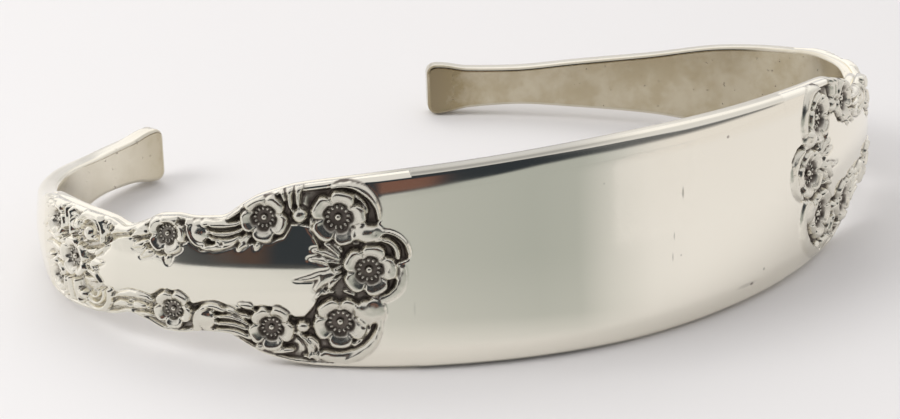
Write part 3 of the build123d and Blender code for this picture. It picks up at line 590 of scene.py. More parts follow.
class Relief:
    """Height over the crown, and blackening, on a grid over the border of the right half."""

    def __init__(self, curls):
        self.along = np.arange(RELIEF_START - GRID_MARGIN, RELIEF_END + GRID_MARGIN, GRID_STEP)
        self.across = np.arange(-GRID_ACROSS, GRID_ACROSS + GRID_STEP, GRID_STEP)
        along, across = np.meshgrid(self.along, self.across, indexing="ij")
        self.base = GROUND_RECESS * ground_share(along, across)
        self.past_fan = along > np.interp(across, *np.transpose(FAN_LINE)) + GROUND_EASING
        self.height = -self.base
        self.rings = np.zeros(self.height.shape)
        plain = self.height.copy()
        for add_form, rows in (
            (self.add_swell, SWELLS),
            (self.add_leaf, LEAVES),
            (self.add_curl, curls),
            (self.add_knob, KNOBS),
            (self.add_blossom, BLOSSOMS),
            (self.add_knob, BOSSES),
        ):
            for row in rows:
                add_form(row)
        worked = blur(((self.height != plain) | (self.base > 0.0)).astype(float), RELIEF_BLUR)
        grain = blur(np.random.default_rng(11).standard_normal(self.height.shape), CASTING_GRAIN)
        self.height = blur(self.height, RELIEF_BLUR) + worked * grain * CASTING_DEPTH / grain.std()
        wear = np.interp(self.along, *np.transpose(WEAR))[:, None]
        crevice = smooth_step(blur(self.height, CREVICE_BLUR) - self.height, CREVICE_START, CREVICE_END)
        below = blur(self.height, HOLLOW_BLUR) - self.height
        hollow = HOLLOW_SOOT * worked * smooth_step(below, HOLLOW_START, HOLLOW_END)
        deep = DEEP_SOOT * smooth_step(-self.height, DEEP_START, DEEP_END)
        rings = np.sqrt(wear) * blur(self.rings, RELIEF_BLUR)
        self.soot = np.maximum(wear * np.maximum.reduce([crevice, hollow, deep]), rings)
        self.cast = wear * worked

    def window(self, low, high):
        """The part of the grid between two corners, and the places there."""
        grid = (self.along, self.across)
        part = tuple(slice(*np.searchsorted(grid[k], (low[k], high[k]))) for k in (0, 1))
        along, across = np.meshgrid(self.along[part[0]], self.across[part[1]], indexing="ij")
        return part, along, across

    def oval(self, row, margin):
        """The part of the grid round an oval, and how far out it is as a share of the radii."""
        centre = np.array(row[0:2])
        radii = np.array(row[2:4])
        reach = radii + margin
        part, along, across = self.window(centre - reach, centre + reach)
        return part, np.hypot((along - centre[0]) / radii[0], (across - centre[1]) / radii[1])

    def cut_moat(self, part, gap):
        """Lowers what lies just outside a form, less on the plain field."""
        ground = self.base[part] / GROUND_RECESS
        cut = MOAT_DEPTH * (FIELD_MOAT + (1.0 - FIELD_MOAT) * ground)
        moat = (gap > 0.0) & (gap < MOAT_WIDTH) & self.past_fan[part]
        lowered = np.maximum(self.height[part] - cut, np.minimum(self.height[part], -GROUND_RECESS))
        self.height[part] = np.where(moat, lowered, self.height[part])

    def raise_form(self, part, raised, gap):
        """Lifts the grid to a form given as a share of the relief, and cuts a moat round it."""
        self.cut_moat(part, gap)
        base = self.base[part]
        form = (RELIEF_PROUD + base) * raised - base
        self.height[part] = np.where(raised > 0.0, np.maximum(self.height[part], form), self.height[part])

    def add_bar(self, path, widths, height):
        """A rounded bar along a path, as wide along it as the widths say."""
        margin = max(widths) + MOAT_WIDTH
        part, along, across = self.window(path.min(axis=0) - margin, path.max(axis=0) + margin)
        reach = np.hypot(along[..., None] - path[:, 0], across[..., None] - path[:, 1])
        half = np.interp(np.linspace(0.0, 1.0, len(path)), np.linspace(0.0, 1.0, len(widths)), widths)
        off = np.min(reach / half, axis=-1)
        raised = height * np.sqrt(np.clip(1.0 - off**BAR_POWER, 0.0, 1.0))
        self.raise_form(part, raised, np.min(reach - half, axis=-1))

    def add_curl(self, row):
        """A bar along an arc that may wind in."""
        along, across, radius, start, sweep, loss, *widths, height = row
        share = np.linspace(0.0, 1.0, CURL_STEPS)
        angle = np.radians(start + sweep * share)
        reach = radius * (1.0 - loss * share)
        path = np.stack([along + reach * np.cos(angle), across + reach * np.sin(angle)], axis=1)
        self.add_bar(path, widths, height)

    def add_leaf(self, row):
        """A bar along a line that may bow to one side."""
        start = np.array(row[0:2])
        run = np.array(row[2:4]) - start
        bow, *widths, height = row[4:]
        share = np.linspace(0.0, 1.0, LEAF_STEPS)[:, None]
        aside = run[::-1] * (-1.0, 1.0) * bow * 4.0 * share * (1.0 - share)
        self.add_bar(start + run * share + aside, widths, height)

    def add_knob(self, row):
        """A smooth round knob."""
        part, off = self.oval(row, MOAT_WIDTH)
        raised = row[4] * np.sqrt(np.clip(1.0 - off**BAR_POWER, 0.0, 1.0))
        self.raise_form(part, raised, (off - 1.0) * min(row[2:4]))

    def add_swell(self, row):
        """A soft low mound without a moat."""
        part, off = self.oval(row, 0.0)
        self.raise_form(part, row[4] * np.clip(1.0 - off**2, 0.0, 1.0) ** 2, np.full(off.shape, -1.0))

    def add_blossom(self, row):
        """A five-petalled blossom with a sunk ring round its middle."""
        *centre, radius, turn = row
        widest = BLOSSOM_WINDOW * radius
        part, along, across = self.window(np.array(centre) - widest, np.array(centre) + widest)
        way = np.arctan2(across - centre[1], along - centre[0]) - math.radians(turn)
        from_petal = np.abs(np.sin(0.5 * PETALS * way))
        from_middle = np.arcsin(np.clip(from_petal, 0.0, 1.0)) / (0.5 * math.pi)
        reach = radius * (1.0 - PETAL_NOTCH * from_petal**NOTCH_POWER)
        share = np.hypot(along - centre[0], across - centre[1]) / reach
        base = self.base[part]
        form = (RELIEF_PROUD + base) * petal_height(share, from_middle) - base
        self.cut_moat(part, (share - 1.0) * reach)
        self.height[part] = np.where(share < 1.0, form, self.height[part])
        ring = RING_SOOT * (1.0 - smooth_step(share, PETAL_START - RING_INNER, PETAL_START + RING_OUTER))
        throat = THROAT_SOOT * (1.0 - smooth_step(share, PETAL_START, PETAL_CREST))
        self.rings[part] = np.where(share < 1.0, np.maximum(ring, throat), self.rings[part])

    def sample(self, values, along, across):
        """Values of the grid at any places on the border."""
        spot_along = (along - self.along[0]) / GRID_STEP
        spot_across = (across - self.across[0]) / GRID_STEP
        i = np.clip(spot_along.astype(int), 0, len(self.along) - 2)
        j = np.clip(spot_across.astype(int), 0, len(self.across) - 2)
        u = np.clip(spot_along - i, 0.0, 1.0)
        v = np.clip(spot_across - j, 0.0, 1.0)
        near = values[i, j] * (1.0 - v) + values[i, j + 1] * v
        far = values[i + 1, j] * (1.0 - v) + values[i + 1, j + 1] * v
        return near * (1.0 - u) + far * u


def petal_height(share, from_middle):
    """Height of a blossom at a share of its reach; from_middle is 0 on a petal, 1 between two."""
    climb = smooth_step(share, PETAL_START, PETAL_CREST)
    petal = PETAL_FLOOR + (1.0 - PETAL_FLOOR) * climb
    past = np.clip((share - PETAL_CREST) / (1.0 - PETAL_CREST), 0.0, 1.0)
    petal = petal * np.sqrt(1.0 - PETAL_FALL * past**PETAL_POWER)
    petal = petal * (1.0 - PETAL_ROUND * from_middle**PETAL_POWER)
    crease = PETAL_CREASE * smooth_step(from_middle, *CREASE_ASIDE) * smooth_step(share, *CREASE_REACH)
    petal = petal * (1.0 - crease)
    lip = smooth_step(share, PETAL_START - LIP_INNER, PETAL_START + LIP_OUTER)
    return RING_FLOOR + (petal - RING_FLOOR) * lip


# Meshes of the pieces


class Shape:
    """Vertices, faces and the values at each vertex of one piece, as it grows."""

    def __init__(self):
        self.points = []
        self.faces = []
        self.soot = []
        self.inside = []
        self.cast = []
        self.sharp = set()
        self.count = 0

    def add(self, points, faces, soot, inside=0.0, cast=0.0):
        """Adds a closed form, with its own numbering of the vertices."""
        self.points.append(points)
        self.faces += [tuple(corner + self.count for corner in face) for face in faces]
        self.soot.append(np.broadcast_to(soot, len(points)))
        self.inside.append(np.broadcast_to(inside, len(points)))
        self.cast.append(np.broadcast_to(cast, len(points)))
        self.count += len(points)


def quads(numbers):
    """Faces between the rows and columns of a grid of vertex numbers."""
    corners = (numbers[:-1, :-1], numbers[1:, :-1], numbers[1:, 1:], numbers[:-1, 1:])
    return [tuple(face) for face in np.stack(corners, axis=-1).reshape(-1, 4).tolist()]


def closed(numbers):
    """The grid of vertex numbers with its first column once more at its end."""
    return np.concatenate([numbers, numbers[:, :1]], axis=1)


def around(grid):
    """The border of a grid as one loop, anticlockwise on the face."""
    return np.concatenate([grid[:-1, 0], grid[-1, :-1], grid[:0:-1, -1], grid[0, :0:-1]])


def add_bead(shape, side, spot, radii, turn, height, soot_on_top, points):
    """A small round or long bead of the right half, on the side asked for."""
    angle = np.arange(points) * 2.0 * math.pi / points
    tilt = np.radians(np.linspace(*BEAD_TILTS, max(5, points // 2 + 1)))
    outward = radii[0] * np.outer(np.cos(tilt), np.cos(angle)).ravel()
    aside = radii[1] * np.outer(np.cos(tilt), np.sin(angle)).ravel()
    along = spot[0] + outward * math.cos(turn) - aside * math.sin(turn)
    across = spot[1] + outward * math.sin(turn) + aside * math.cos(turn)
    up = height + radii[1] * np.repeat(np.sin(tilt), points)
    soot = np.repeat(1.0 - (1.0 - soot_on_top) * smooth_step(np.sin(tilt), *BEAD_SHINE), points)
    numbers = np.arange(along.size).reshape(len(tilt), points)
    faces = quads(closed(numbers).T)
    faces += [tuple(numbers[0, ::-1].tolist()), tuple(numbers[-1].tolist())]
    if side < 0:
        faces = [face[::-1] for face in faces]
    spots = place(side * along, across, crown_drop(along, across) - up)
    shape.add(spots, faces, soot, 0.0, 1.0)


def band_columns(length, outline, inset):
    """Places along and edge heights of the columns of one half, from the middle to the tip."""
    corner_start = length - TIP_CORNER_RADIUS
    sunk_start = RELIEF_START + BAND_SINK_LENGTH
    sunk_end = RELIEF_END - BAND_SINK_LENGTH
    plain = np.concatenate([
        np.arange(0.0, RELIEF_START - 0.4 * PANEL_COLUMN, PANEL_COLUMN),
        np.linspace(RELIEF_START, sunk_start, SINK_COLUMNS)[:-1],
        np.arange(sunk_start, sunk_end, 0.5 * PANEL_COLUMN),
        np.linspace(sunk_end, RELIEF_END, SINK_COLUMNS)[:-1],
        np.linspace(RELIEF_END, corner_start, int((corner_start - RELIEF_END) / TAIL_COLUMN))[:-1],
    ])
    angle = np.linspace(0.0, 0.5 * math.pi, CORNER_COLUMNS)
    corner = TIP_CORNER_RADIUS - inset
    middle = outline(corner_start) - TIP_CORNER_RADIUS
    along = np.concatenate([plain, corner_start + corner * np.sin(angle)])
    edge = np.concatenate([outline(plain) - inset, middle + corner * np.cos(angle)])
    return along, edge


def face_grid(inset):
    """Places along and across of a grid over the face, from tip to tip, moved in from the outline."""
    left_along, left_edge = band_columns(LEFT_LENGTH, LEFT_OUTLINE, inset)
    right_along, right_edge = band_columns(RIGHT_LENGTH, RIGHT_OUTLINE, inset)
    along = np.concatenate([-left_along[:0:-1], right_along])
    edge = np.concatenate([left_edge[:0:-1], right_edge])
    even = np.linspace(-1.0, 1.0, ROWS + 1)
    closer_at_edges = 0.5 * even + 0.5 * np.sin(0.5 * math.pi * even)
    return np.repeat(along[:, None], ROWS + 1, axis=1), np.outer(edge, closer_at_edges)


def outline_loop(inset):
    """Places along and across of the band's outline moved in, anticlockwise."""
    return np.stack([around(grid) for grid in face_grid(inset)])


def edge_rounding(slope):
    """Insets and depths down a rounded edge that goes on from a face of the slope given."""
    start = np.arctan(slope)
    radius = OUTER_ROUNDING / (1.0 - np.sin(start))
    steps = []
    for share in np.arange(1, ROUNDING_STEPS + 1) / ROUNDING_STEPS:
        angle = start + (0.5 * math.pi - start) * share
        steps.append((radius * (1.0 - np.sin(angle)), radius * (np.cos(start) - np.cos(angle))))
    return steps


def sunk_crown(along, across):
    """Depth of the band's outer face, which leaves room for the relief pieces."""
    length = np.abs(along)
    start = smooth_step(length, RELIEF_START + SINK_MARGIN, RELIEF_START + BAND_SINK_LENGTH)
    end = smooth_step(length, RELIEF_END - BAND_SINK_LENGTH, RELIEF_END - SINK_MARGIN)
    return crown_drop(along, across) + BAND_SINK * (start - end)


def edge_steps(shoulder_depth, slope):
    """Inset, depth and inside share of the loops down the band's edge."""
    steps = []
    for number, (inset, down) in enumerate(edge_rounding(slope), 1):
        steps.append((inset, shoulder_depth + down, ROUNDING_INSIDE * number / ROUNDING_STEPS))
    wall_top = steps[-1][1]
    wall_foot = THICKNESS - INNER_ROUNDING
    for share in WALL_LOOPS:
        steps.append((0.0, wall_top + (wall_foot - wall_top) * share, WALL_INSIDE))
    for angle in 0.5 * math.pi * np.arange(1, ROUNDING_STEPS) / ROUNDING_STEPS:
        inset = INNER_ROUNDING * (1.0 - math.cos(angle))
        depth = THICKNESS - INNER_ROUNDING * (1.0 - math.sin(angle))
        steps.append((inset, depth, INNER_EDGE_INSIDE))
    return steps


def build_band():
    """The whole handle: its outer and inner faces and the rounded edge between them."""
    outer = face_grid(OUTER_ROUNDING)
    shoulder = outline_loop(OUTER_ROUNDING)
    edge = outline_loop(0.0)
    shoulder_depth = sunk_crown(*shoulder)
    slope = (shoulder_depth - sunk_crown(*outline_loop(OUTER_ROUNDING + SLOPE_STEP))) / SLOPE_STEP
    steps = edge_steps(shoulder_depth, np.clip(slope, 0.0, GREATEST_SLOPE))
    layers = [(*outer, sunk_crown(*outer), 0.0), (*face_grid(INNER_ROUNDING), THICKNESS, 1.0)]
    for inset, depth, inside in steps:
        share = inset / OUTER_ROUNDING
        layers.append((*(edge * (1.0 - share) + shoulder * share), depth, inside))
    points = np.concatenate([place(*layer[:3]) for layer in layers])
    inside = np.concatenate([np.full(layer[0].size, layer[3]) for layer in layers])
    outer_face = np.arange(outer[0].size).reshape(outer[0].shape)
    inner_face = outer_face + outer_face.size
    rings = 2 * outer_face.size + np.arange(len(steps) * edge.shape[1]).reshape(len(steps), -1)
    loops = closed(np.vstack([around(outer_face), rings, around(inner_face)]))
    faces = quads(outer_face[::-1].T) + quads(inner_face.T) + quads(loops[:, ::-1].T)
    shape = Shape()
    shape.add(points, faces, 0.0, inside)
    return shape


def build_relief(side, relief):
    """The cast border of one side as a closed sheet that sits in the sunk band."""
    columns = int((RELIEF_END - RELIEF_START) / RELIEF_COLUMN)
    along = np.linspace(RELIEF_START, RELIEF_END, columns)[:, None]
    edge = half_width(side * along)
    shoulder = edge - OUTER_ROUNDING
    slope = crown_drop(side * along, shoulder) - crown_drop(side * along, shoulder - SLOPE_STEP)
    rounding = edge_rounding(np.clip(slope / SLOPE_STEP, 0.0, GREATEST_SLOPE))
    inset, down = (np.concatenate(steps, axis=1) for steps in zip(*rounding))
    rows = np.linspace(-1.0, 1.0, RELIEF_ROWS + 1)
    face = np.concatenate([inset[:, ::-1] - edge, shoulder * rows, edge - inset], axis=1)
    down = np.concatenate([down[:, ::-1], np.zeros((columns, RELIEF_ROWS + 1)), down], axis=1)
    depth = crown_drop(side * along, face) + down - relief.sample(relief.height, along, face) - RELIEF_LIFT
    foot = edge - FOOT_INSET
    across = np.concatenate([-foot, -edge, face, edge, foot], axis=1)
    beside = ((0, 0), (2, 2))
    depth = np.pad(depth, beside, constant_values=RELIEF_FOOT)
    soot = np.pad(relief.sample(relief.soot, along, face), beside) * (1.0 if side < 0 else RIGHT_WEAR)
    cast = np.pad(relief.sample(relief.cast, along, face), beside)
    numbers = np.arange(across.size).reshape(across.shape)
    ends = [tuple(numbers[0].tolist()), tuple(numbers[-1, ::-1].tolist())]
    faces = quads(closed(numbers)) + ends
    if side < 0:
        faces = [face[::-1] for face in faces]
    shape = Shape()
    shape.add(place(side * along, across, depth), faces, soot.ravel(), 0.0, cast.ravel())
    for end in ends:
        shape.sharp |= {frozenset(pair) for pair in zip(end, end[1:] + end[:1])}
    return shape


def build_beads(side):
    """The beads and the middles of the blossoms of one border."""
    shape = Shape()
    floor = RING_FLOOR * (RELIEF_PROUD + GROUND_RECESS) - GROUND_RECESS
    for along, across, radius, turn in BLOSSOMS:
        wear = np.interp(along, *np.transpose(WEAR))
        width = BEAD_RADIUS * radius
        radii = (BEAD_LENGTH * width, width)
        for number in range(BEADS):
            way = math.radians(turn) + number * 2.0 * math.pi / BEADS
            out = BEAD_RING * radius
            spot = (along + out * math.cos(way), across + out * math.sin(way))
            add_bead(shape, side, spot, radii, way, floor + BEAD_RISE, BEAD_SOOT * wear, BEAD_POINTS)
        radii = (MIDDLE_RADIUS * radius, MIDDLE_RADIUS * radius)
        rise = floor + MIDDLE_RISE
        add_bead(shape, side, (along, across), radii, 0.0, rise, MIDDLE_SOOT * wear, MIDDLE_POINTS)
    return shape


def make_object(name, shape, material):
    """A smooth mesh object of the shape that rides on the part's body."""
    mesh = bpy.data.meshes.new(name)
    mesh.from_pydata(np.concatenate(shape.points).tolist(), [], shape.faces)
    mesh.validate()
    mesh.polygons.foreach_set("use_smooth", [True] * len(mesh.polygons))
    for edge in mesh.edges:
        if shape.sharp and frozenset(edge.vertices) in shape.sharp:
            edge.use_edge_sharp = True
    for title, values in (("soot", shape.soot), ("inside", shape.inside), ("cast", shape.cast)):
        attribute = mesh.attributes.new(title, "FLOAT", "POINT")
        attribute.data.foreach_set("value", np.concatenate(values).astype(np.float32))
    mesh.materials.append(material)
    piece = bpy.data.objects.new(name, mesh)
    bpy.context.scene.collection.objects.link(piece)
    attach(piece, "root")
    return piece


# Materials

# Colours of the silver: polished, as cast, warm with age and with painted shade inside, painted shade
# along part of the edge, and blackened
POLISHED_COLOUR = (0.94, 0.905, 0.805, 1.0)
CAST_COLOUR = (0.79, 0.76, 0.67, 1.0)
WARM_COLOUR = (0.375, 0.308, 0.180, 1.0)
EDGE_SHADE_COLOUR = (0.42, 0.41, 0.37, 1.0)
BLACK_COLOUR = (0.175, 0.150, 0.132, 1.0)

# Where the looks change along X and Y of the frame, in metres: from, to
LEFT_TIP_X = (-0.0225, -0.0170)
RIGHT_TIP_X = (-0.002, 0.002)
RIGHT_TIP_END_X = (0.0125, 0.0068)
RIGHT_TIP_Y = (0.002, 0.010)
RIGHT_BEND_X = (0.018, 0.028)
RIGHT_BEND_Y = (0.0015, -0.003)
EDGE_SHADE_X = (-0.019, -0.015)
EDGE_SHADE_END_X = (0.0035, -0.0055)
FRONT_Y = (0.0, -0.010)

# Noises, in waves for each metre
GRIME_SCALE = 2600.0
SPECK_SCALE = 2400.0
CLOUD_SCALE = 330.0
SMEAR_SCALE = 110.0
WAVE_SCALE = 95.0
SCRATCH_SCALE = 900.0
SCRATCH_STRETCH = (0.12, 0.12, 3.0)
PIT_SCALE = 3800.0
BUMP_HEIGHT = 0.00006


def add_node(tree, kind, **settings):
    """A node with its properties and the values of its inputs set by name."""
    node = tree.nodes.new(kind)
    for name, value in settings.items():
        title = name.replace("_", " ").title()
        if title in node.inputs:
            node.inputs[title].default_value = value
        else:
            setattr(node, name, value)
    return node


def ramp(tree, source, low, high, to_low=0.0, to_high=1.0):
    """A smooth change from one value to another as the source goes from low to high."""
    node = add_node(tree, "ShaderNodeMapRange", interpolation_type="SMOOTHSTEP")
    tree.links.new(source, node.inputs["Value"])
    for title, value in (("From Min", low), ("From Max", high), ("To Min", to_low), ("To Max", to_high)):
        node.inputs[title].default_value = value
    return node.outputs["Result"]


def combine(tree, kind, *values):
    """The sum, product, maximum or difference of two or more values, one after the other."""
    result = values[0]
    for value in values[1:]:
        node = add_node(tree, "ShaderNodeMath", operation=kind)
        for socket, part in zip(node.inputs, (result, value)):
            if isinstance(part, (int, float)):
                socket.default_value = part
            else:
                tree.links.new(part, socket)
        result = node.outputs["Value"]
    return result


def noise(tree, where, scale, detail=4.0, roughness=0.5, stretch=(1.0, 1.0, 1.0)):
    """Noise at a scale for each metre, over the object's own coordinates."""
    mapping = add_node(tree, "ShaderNodeMapping")
    mapping.inputs["Scale"].default_value = stretch
    tree.links.new(where, mapping.inputs["Vector"])
    node = add_node(tree, "ShaderNodeTexNoise", scale=scale, detail=detail, roughness=roughness)
    tree.links.new(mapping.outputs["Vector"], node.inputs["Vector"])
    return node.outputs["Fac"]


def mix_colours(tree, share, first, second):
    """The first colour or socket, turned into the second as the share goes up."""
    node = add_node(tree, "ShaderNodeMix", data_type="RGBA")
    tree.links.new(share, node.inputs["Factor"])
    colours = [socket for socket in node.inputs if socket.type == "RGBA"]
    for socket, value in zip(colours, (first, second)):
        if isinstance(value, tuple):
            socket.default_value = value
        else:
            tree.links.new(value, socket)
    return [socket for socket in node.outputs if socket.type == "RGBA"][0]


def mark_share(tree, where, row):
    """The strength of a small mark on the outer face, and 0 away from it."""
    along, across, half_length, half_height, strength = row
    off = add_node(tree, "ShaderNodeVectorMath", operation="SUBTRACT")
    tree.links.new(where, off.inputs[0])
    off.inputs[1].default_value = place(along, across, 0.0)[0]
    scaled = add_node(tree, "ShaderNodeVectorMath", operation="DIVIDE")
    tree.links.new(off.outputs["Vector"], scaled.inputs[0])
    scaled.inputs[1].default_value = Vector((half_length, MARK_DEPTH, half_height)) * MILLIMETRE
    reach = add_node(tree, "ShaderNodeVectorMath", operation="LENGTH")
    tree.links.new(scaled.outputs["Vector"], reach.inputs[0])
    return ramp(tree, reach.outputs["Value"], 1.0, 0.2, 0.0, strength)


def edge_shade(tree, x, y, inside):
    """Painted shade: a greyer, darker stretch of the edge over the left half of the plain front, where its
    reflection is dimmer.
    """
    return combine(
        tree,
        "MULTIPLY",
        ramp(tree, inside, 0.01, 0.10),
        ramp(tree, inside, 0.80, 0.30),
        ramp(tree, x, *EDGE_SHADE_X),
        ramp(tree, x, *EDGE_SHADE_END_X, 0.0, 0.85),
        ramp(tree, y, *FRONT_Y),
    )


def silver_material():
    """Polished worn silver, blackened in the recesses, warmer and duller inside with tarnish and painted
    shade, and with painted shade along part of its edge.
    """
    material = bpy.data.materials.new("silver")
    material.use_nodes = True
    tree = material.node_tree
    shader = tree.nodes["Principled BSDF"]
    shader.inputs["Metallic"].default_value = 1.0
    where = add_node(tree, "ShaderNodeTexCoord").outputs["Object"]
    split = add_node(tree, "ShaderNodeSeparateXYZ")
    tree.links.new(where, split.inputs["Vector"])
    x = split.outputs["X"]
    y = split.outputs["Y"]
    soot, inside, cast = [
        add_node(tree, "ShaderNodeAttribute", attribute_name=name).outputs["Fac"]
        for name in ("soot", "inside", "cast")
    ]

    right_tip = combine(
        tree,
        "MULTIPLY",
        ramp(tree, x, *RIGHT_TIP_X),
        ramp(tree, x, *RIGHT_TIP_END_X),
        ramp(tree, y, *RIGHT_TIP_Y),
    )
    cloud = noise(tree, where, CLOUD_SCALE, detail=5.0, roughness=0.65)
    clouds = combine(tree, "MULTIPLY", ramp(tree, cloud, 0.35, 0.65), 0.16)
    tip_clouds = combine(tree, "MULTIPLY", right_tip, ramp(tree, cloud, 0.35, 0.6, 0.3, 0.8))
    # Painted shade: the inside turns towards the warm colour. This is partly real tarnish in clouds and
    # partly painted shade, since the inside mirrors the shaded back of the front. There is less of it at
    # the left tip and at the inner right bend.
    stain_and_shade = combine(tree, "ADD", clouds, 0.60, tip_clouds)
    left_tip = ramp(tree, x, *LEFT_TIP_X, 0.55, 1.1)
    right_bend = combine(
        tree, "MULTIPLY", ramp(tree, x, *RIGHT_BEND_X), ramp(tree, y, *RIGHT_BEND_Y), 0.55
    )
    warm = combine(tree, "MULTIPLY", stain_and_shade, left_tip, combine(tree, "SUBTRACT", 1.0, right_bend), inside)

    grime = combine(tree, "SUBTRACT", noise(tree, where, GRIME_SCALE, detail=3.0), 0.5)
    black = combine(tree, "ADD", soot, combine(tree, "MULTIPLY", grime, 0.4))
    black = combine(tree, "MULTIPLY", ramp(tree, black, 0.05, 0.85), ramp(tree, soot, 0.02, 0.2))
    specks = ramp(tree, noise(tree, where, SPECK_SCALE, detail=2.0), 0.68, 0.77, 0.0, 0.6)
    specks = combine(tree, "MULTIPLY", specks, inside)
    tip_grime = combine(tree, "MULTIPLY", right_tip, inside, 0.45)
    marks = [mark_share(tree, where, row) for row in MARKS]
    black = combine(tree, "MAXIMUM", black, specks, tip_grime, *marks)

    colour = mix_colours(tree, cast, POLISHED_COLOUR, CAST_COLOUR)
    colour = mix_colours(tree, warm, colour, WARM_COLOUR)
    # Painted shade along the edge of the left half of the front
    colour = mix_colours(tree, edge_shade(tree, x, y, inside), colour, EDGE_SHADE_COLOUR)
    colour = mix_colours(tree, black, colour, BLACK_COLOUR)
    tree.links.new(colour, shader.inputs["Base Color"])

    smear = noise(tree, where, SMEAR_SCALE, detail=6.0, roughness=0.62)
    dull = [combine(tree, "MULTIPLY", *pair) for pair in ((inside, 0.10), (cast, 0.13), (black, 0.30))]
    rough = combine(tree, "ADD", ramp(tree, smear, 0.35, 0.7, 0.07, 0.13), *dull)
    tree.links.new(rough, shader.inputs["Roughness"])

    waves = noise(tree, where, WAVE_SCALE, detail=1.0, roughness=0.3)
    scratches = noise(tree, where, SCRATCH_SCALE, detail=3.0, roughness=0.7, stretch=SCRATCH_STRETCH)
    pits = combine(tree, "MULTIPLY", noise(tree, where, PIT_SCALE, detail=2.0), inside)
    fine = combine(tree, "MULTIPLY", combine(tree, "ADD", scratches, pits), 0.012)
    bump = add_node(tree, "ShaderNodeBump", strength=0.5, distance=BUMP_HEIGHT)
    tree.links.new(combine(tree, "ADD", waves, fine), bump.inputs["Height"])
    tree.links.new(bump.outputs["Normal"], shader.inputs["Normal"])
    return material


def plain_material(name, colour, roughness):
    """A plain matt surface."""
    material = bpy.data.materials.new(name)
    material.use_nodes = True
    shader = material.node_tree.nodes["Principled BSDF"]
    shader.inputs["Base Color"].default_value = (*colour, 1.0)
    shader.inputs["Roughness"].default_value = roughness
    shader.inputs["Specular IOR Level"].default_value = 0.0
    return material


# Stage, light and camera

# What the silver mirrors: glowing sheets that show only in the silver, painted reflections of a dark
# room, of grey, pale and brown things, and of a bright card that paints highlights. Turns are in degrees
# from straight out of the front, plus to the right; rises are in degrees over the horizon. Cover is 1
# where a card hides what is behind it.
# Cards: turn, lowest rise, highest rise, cover
DARK_ROOM_REFLECTION = (
    (-79.0, -3.5, 40.0, 0.00),
    (-73.5, -3.5, 46.0, 0.25),
    (-68.5, -3.5, 48.0, 0.95),
    (-60.0, -3.5, 50.0, 1.00),
    (-48.0, -3.5, 52.0, 1.00),
    (-30.0, -3.5, 54.0, 1.00),
    (-22.0, 1.0, 54.0, 1.00),
    (-13.0, 4.0, 54.0, 1.00),
    (-6.0, 7.5, 54.0, 1.00),
    (2.0, 9.5, 54.0, 1.00),
    (11.0, 12.5, 54.0, 1.00),
    (20.0, 12.5, 50.0, 0.95),
    (29.0, 10.5, 38.0, 0.85),
    (48.0, 8.5, 20.0, 0.85),
    (65.0, 7.5, 17.0, 0.80),
    (73.0, 6.5, 15.0, 0.70),
    (78.0, 6.0, 14.0, 0.00),
)
GREY_WALL_REFLECTION = (
    (-24.0, -3.0, 16.0, 0.0),
    (-14.0, -3.0, 18.0, 0.9),
    (11.0, -3.0, 24.0, 1.0),
    (20.0, -3.0, 24.0, 0.95),
    (28.0, -3.0, 22.0, 0.5),
    (38.0, -3.0, 20.0, 0.1),
    (48.0, -3.0, 18.0, 0.0),
)
PALE_WALL_REFLECTION = (
    (29.0, -3.0, 16.0, 0.0),
    (42.0, -3.0, 16.0, 0.9),
    (85.0, -3.0, 16.0, 0.9),
    (105.0, -3.0, 16.0, 0.0),
)
BROWN_LEFT_REFLECTION = (
    (-57.0, -4.0, 30.0, 0.0),
    (-53.0, -4.0, 30.0, 0.85),
    (-46.0, -4.0, 30.0, 0.85),
    (-42.0, -4.0, 30.0, 0.0),
)
BROWN_RIGHT_REFLECTION = (
    (-32.0, 4.0, 28.0, 0.0),
    (-24.0, 4.0, 28.0, 0.9),
    (-13.0, 6.0, 28.0, 0.9),
    (-9.0, 8.0, 28.0, 0.0),
)
# Painted highlights: a glowing card behind the cuff, seen only in the silver, makes the bright rims
BRIGHT_HIGHLIGHT_CARD = (
    (95.0, 8.0, 60.0, 0.0),
    (120.0, 8.0, 60.0, 0.8),
    (175.0, 8.0, 60.0, 1.0),
    (230.0, 8.0, 60.0, 0.8),
    (260.0, 8.0, 60.0, 0.0),
)

# Glowing fans just over the floor that show only in the silver, painted reflections of a greyer, paler and
# darker floor: turn about the fans' point, and cover
GREY_FLOOR_REFLECTION = (
    (-112.0, 0.0), (-96.0, 0.30), (-70.0, 0.35), (-50.0, 0.45), (-30.0, 0.75), (-12.0, 0.90),
    (10.0, 1.0), (20.0, 0.95), (28.0, 0.50), (38.0, 0.10), (48.0, 0.0),
)
PALE_FLOOR_REFLECTION = ((29.0, 0.0), (42.0, 0.8), (85.0, 0.8), (105.0, 0.0))
DARK_FLOOR_REFLECTION = ((-80.0, 0.0), (-73.0, 0.3), (-67.0, 0.95), (-50.0, 0.95), (-34.0, 1.0), (-26.0, 0.0))

# Reach over the floor, and share of the cover there
GREY_REACHES = ((0.016, 0.0), (0.028, 0.85), (0.050, 1.0), (1.2, 1.0))
PALE_REACHES = ((0.050, 0.0), (0.120, 0.8), (0.250, 1.0), (1.2, 1.0))
DARK_REACHES = ((0.090, 0.0), (0.115, 1.0), (1.2, 1.0))

GREY_GLOW = (0.420, 0.438, 0.415)
PALE_GLOW = (0.815, 0.775, 0.745)

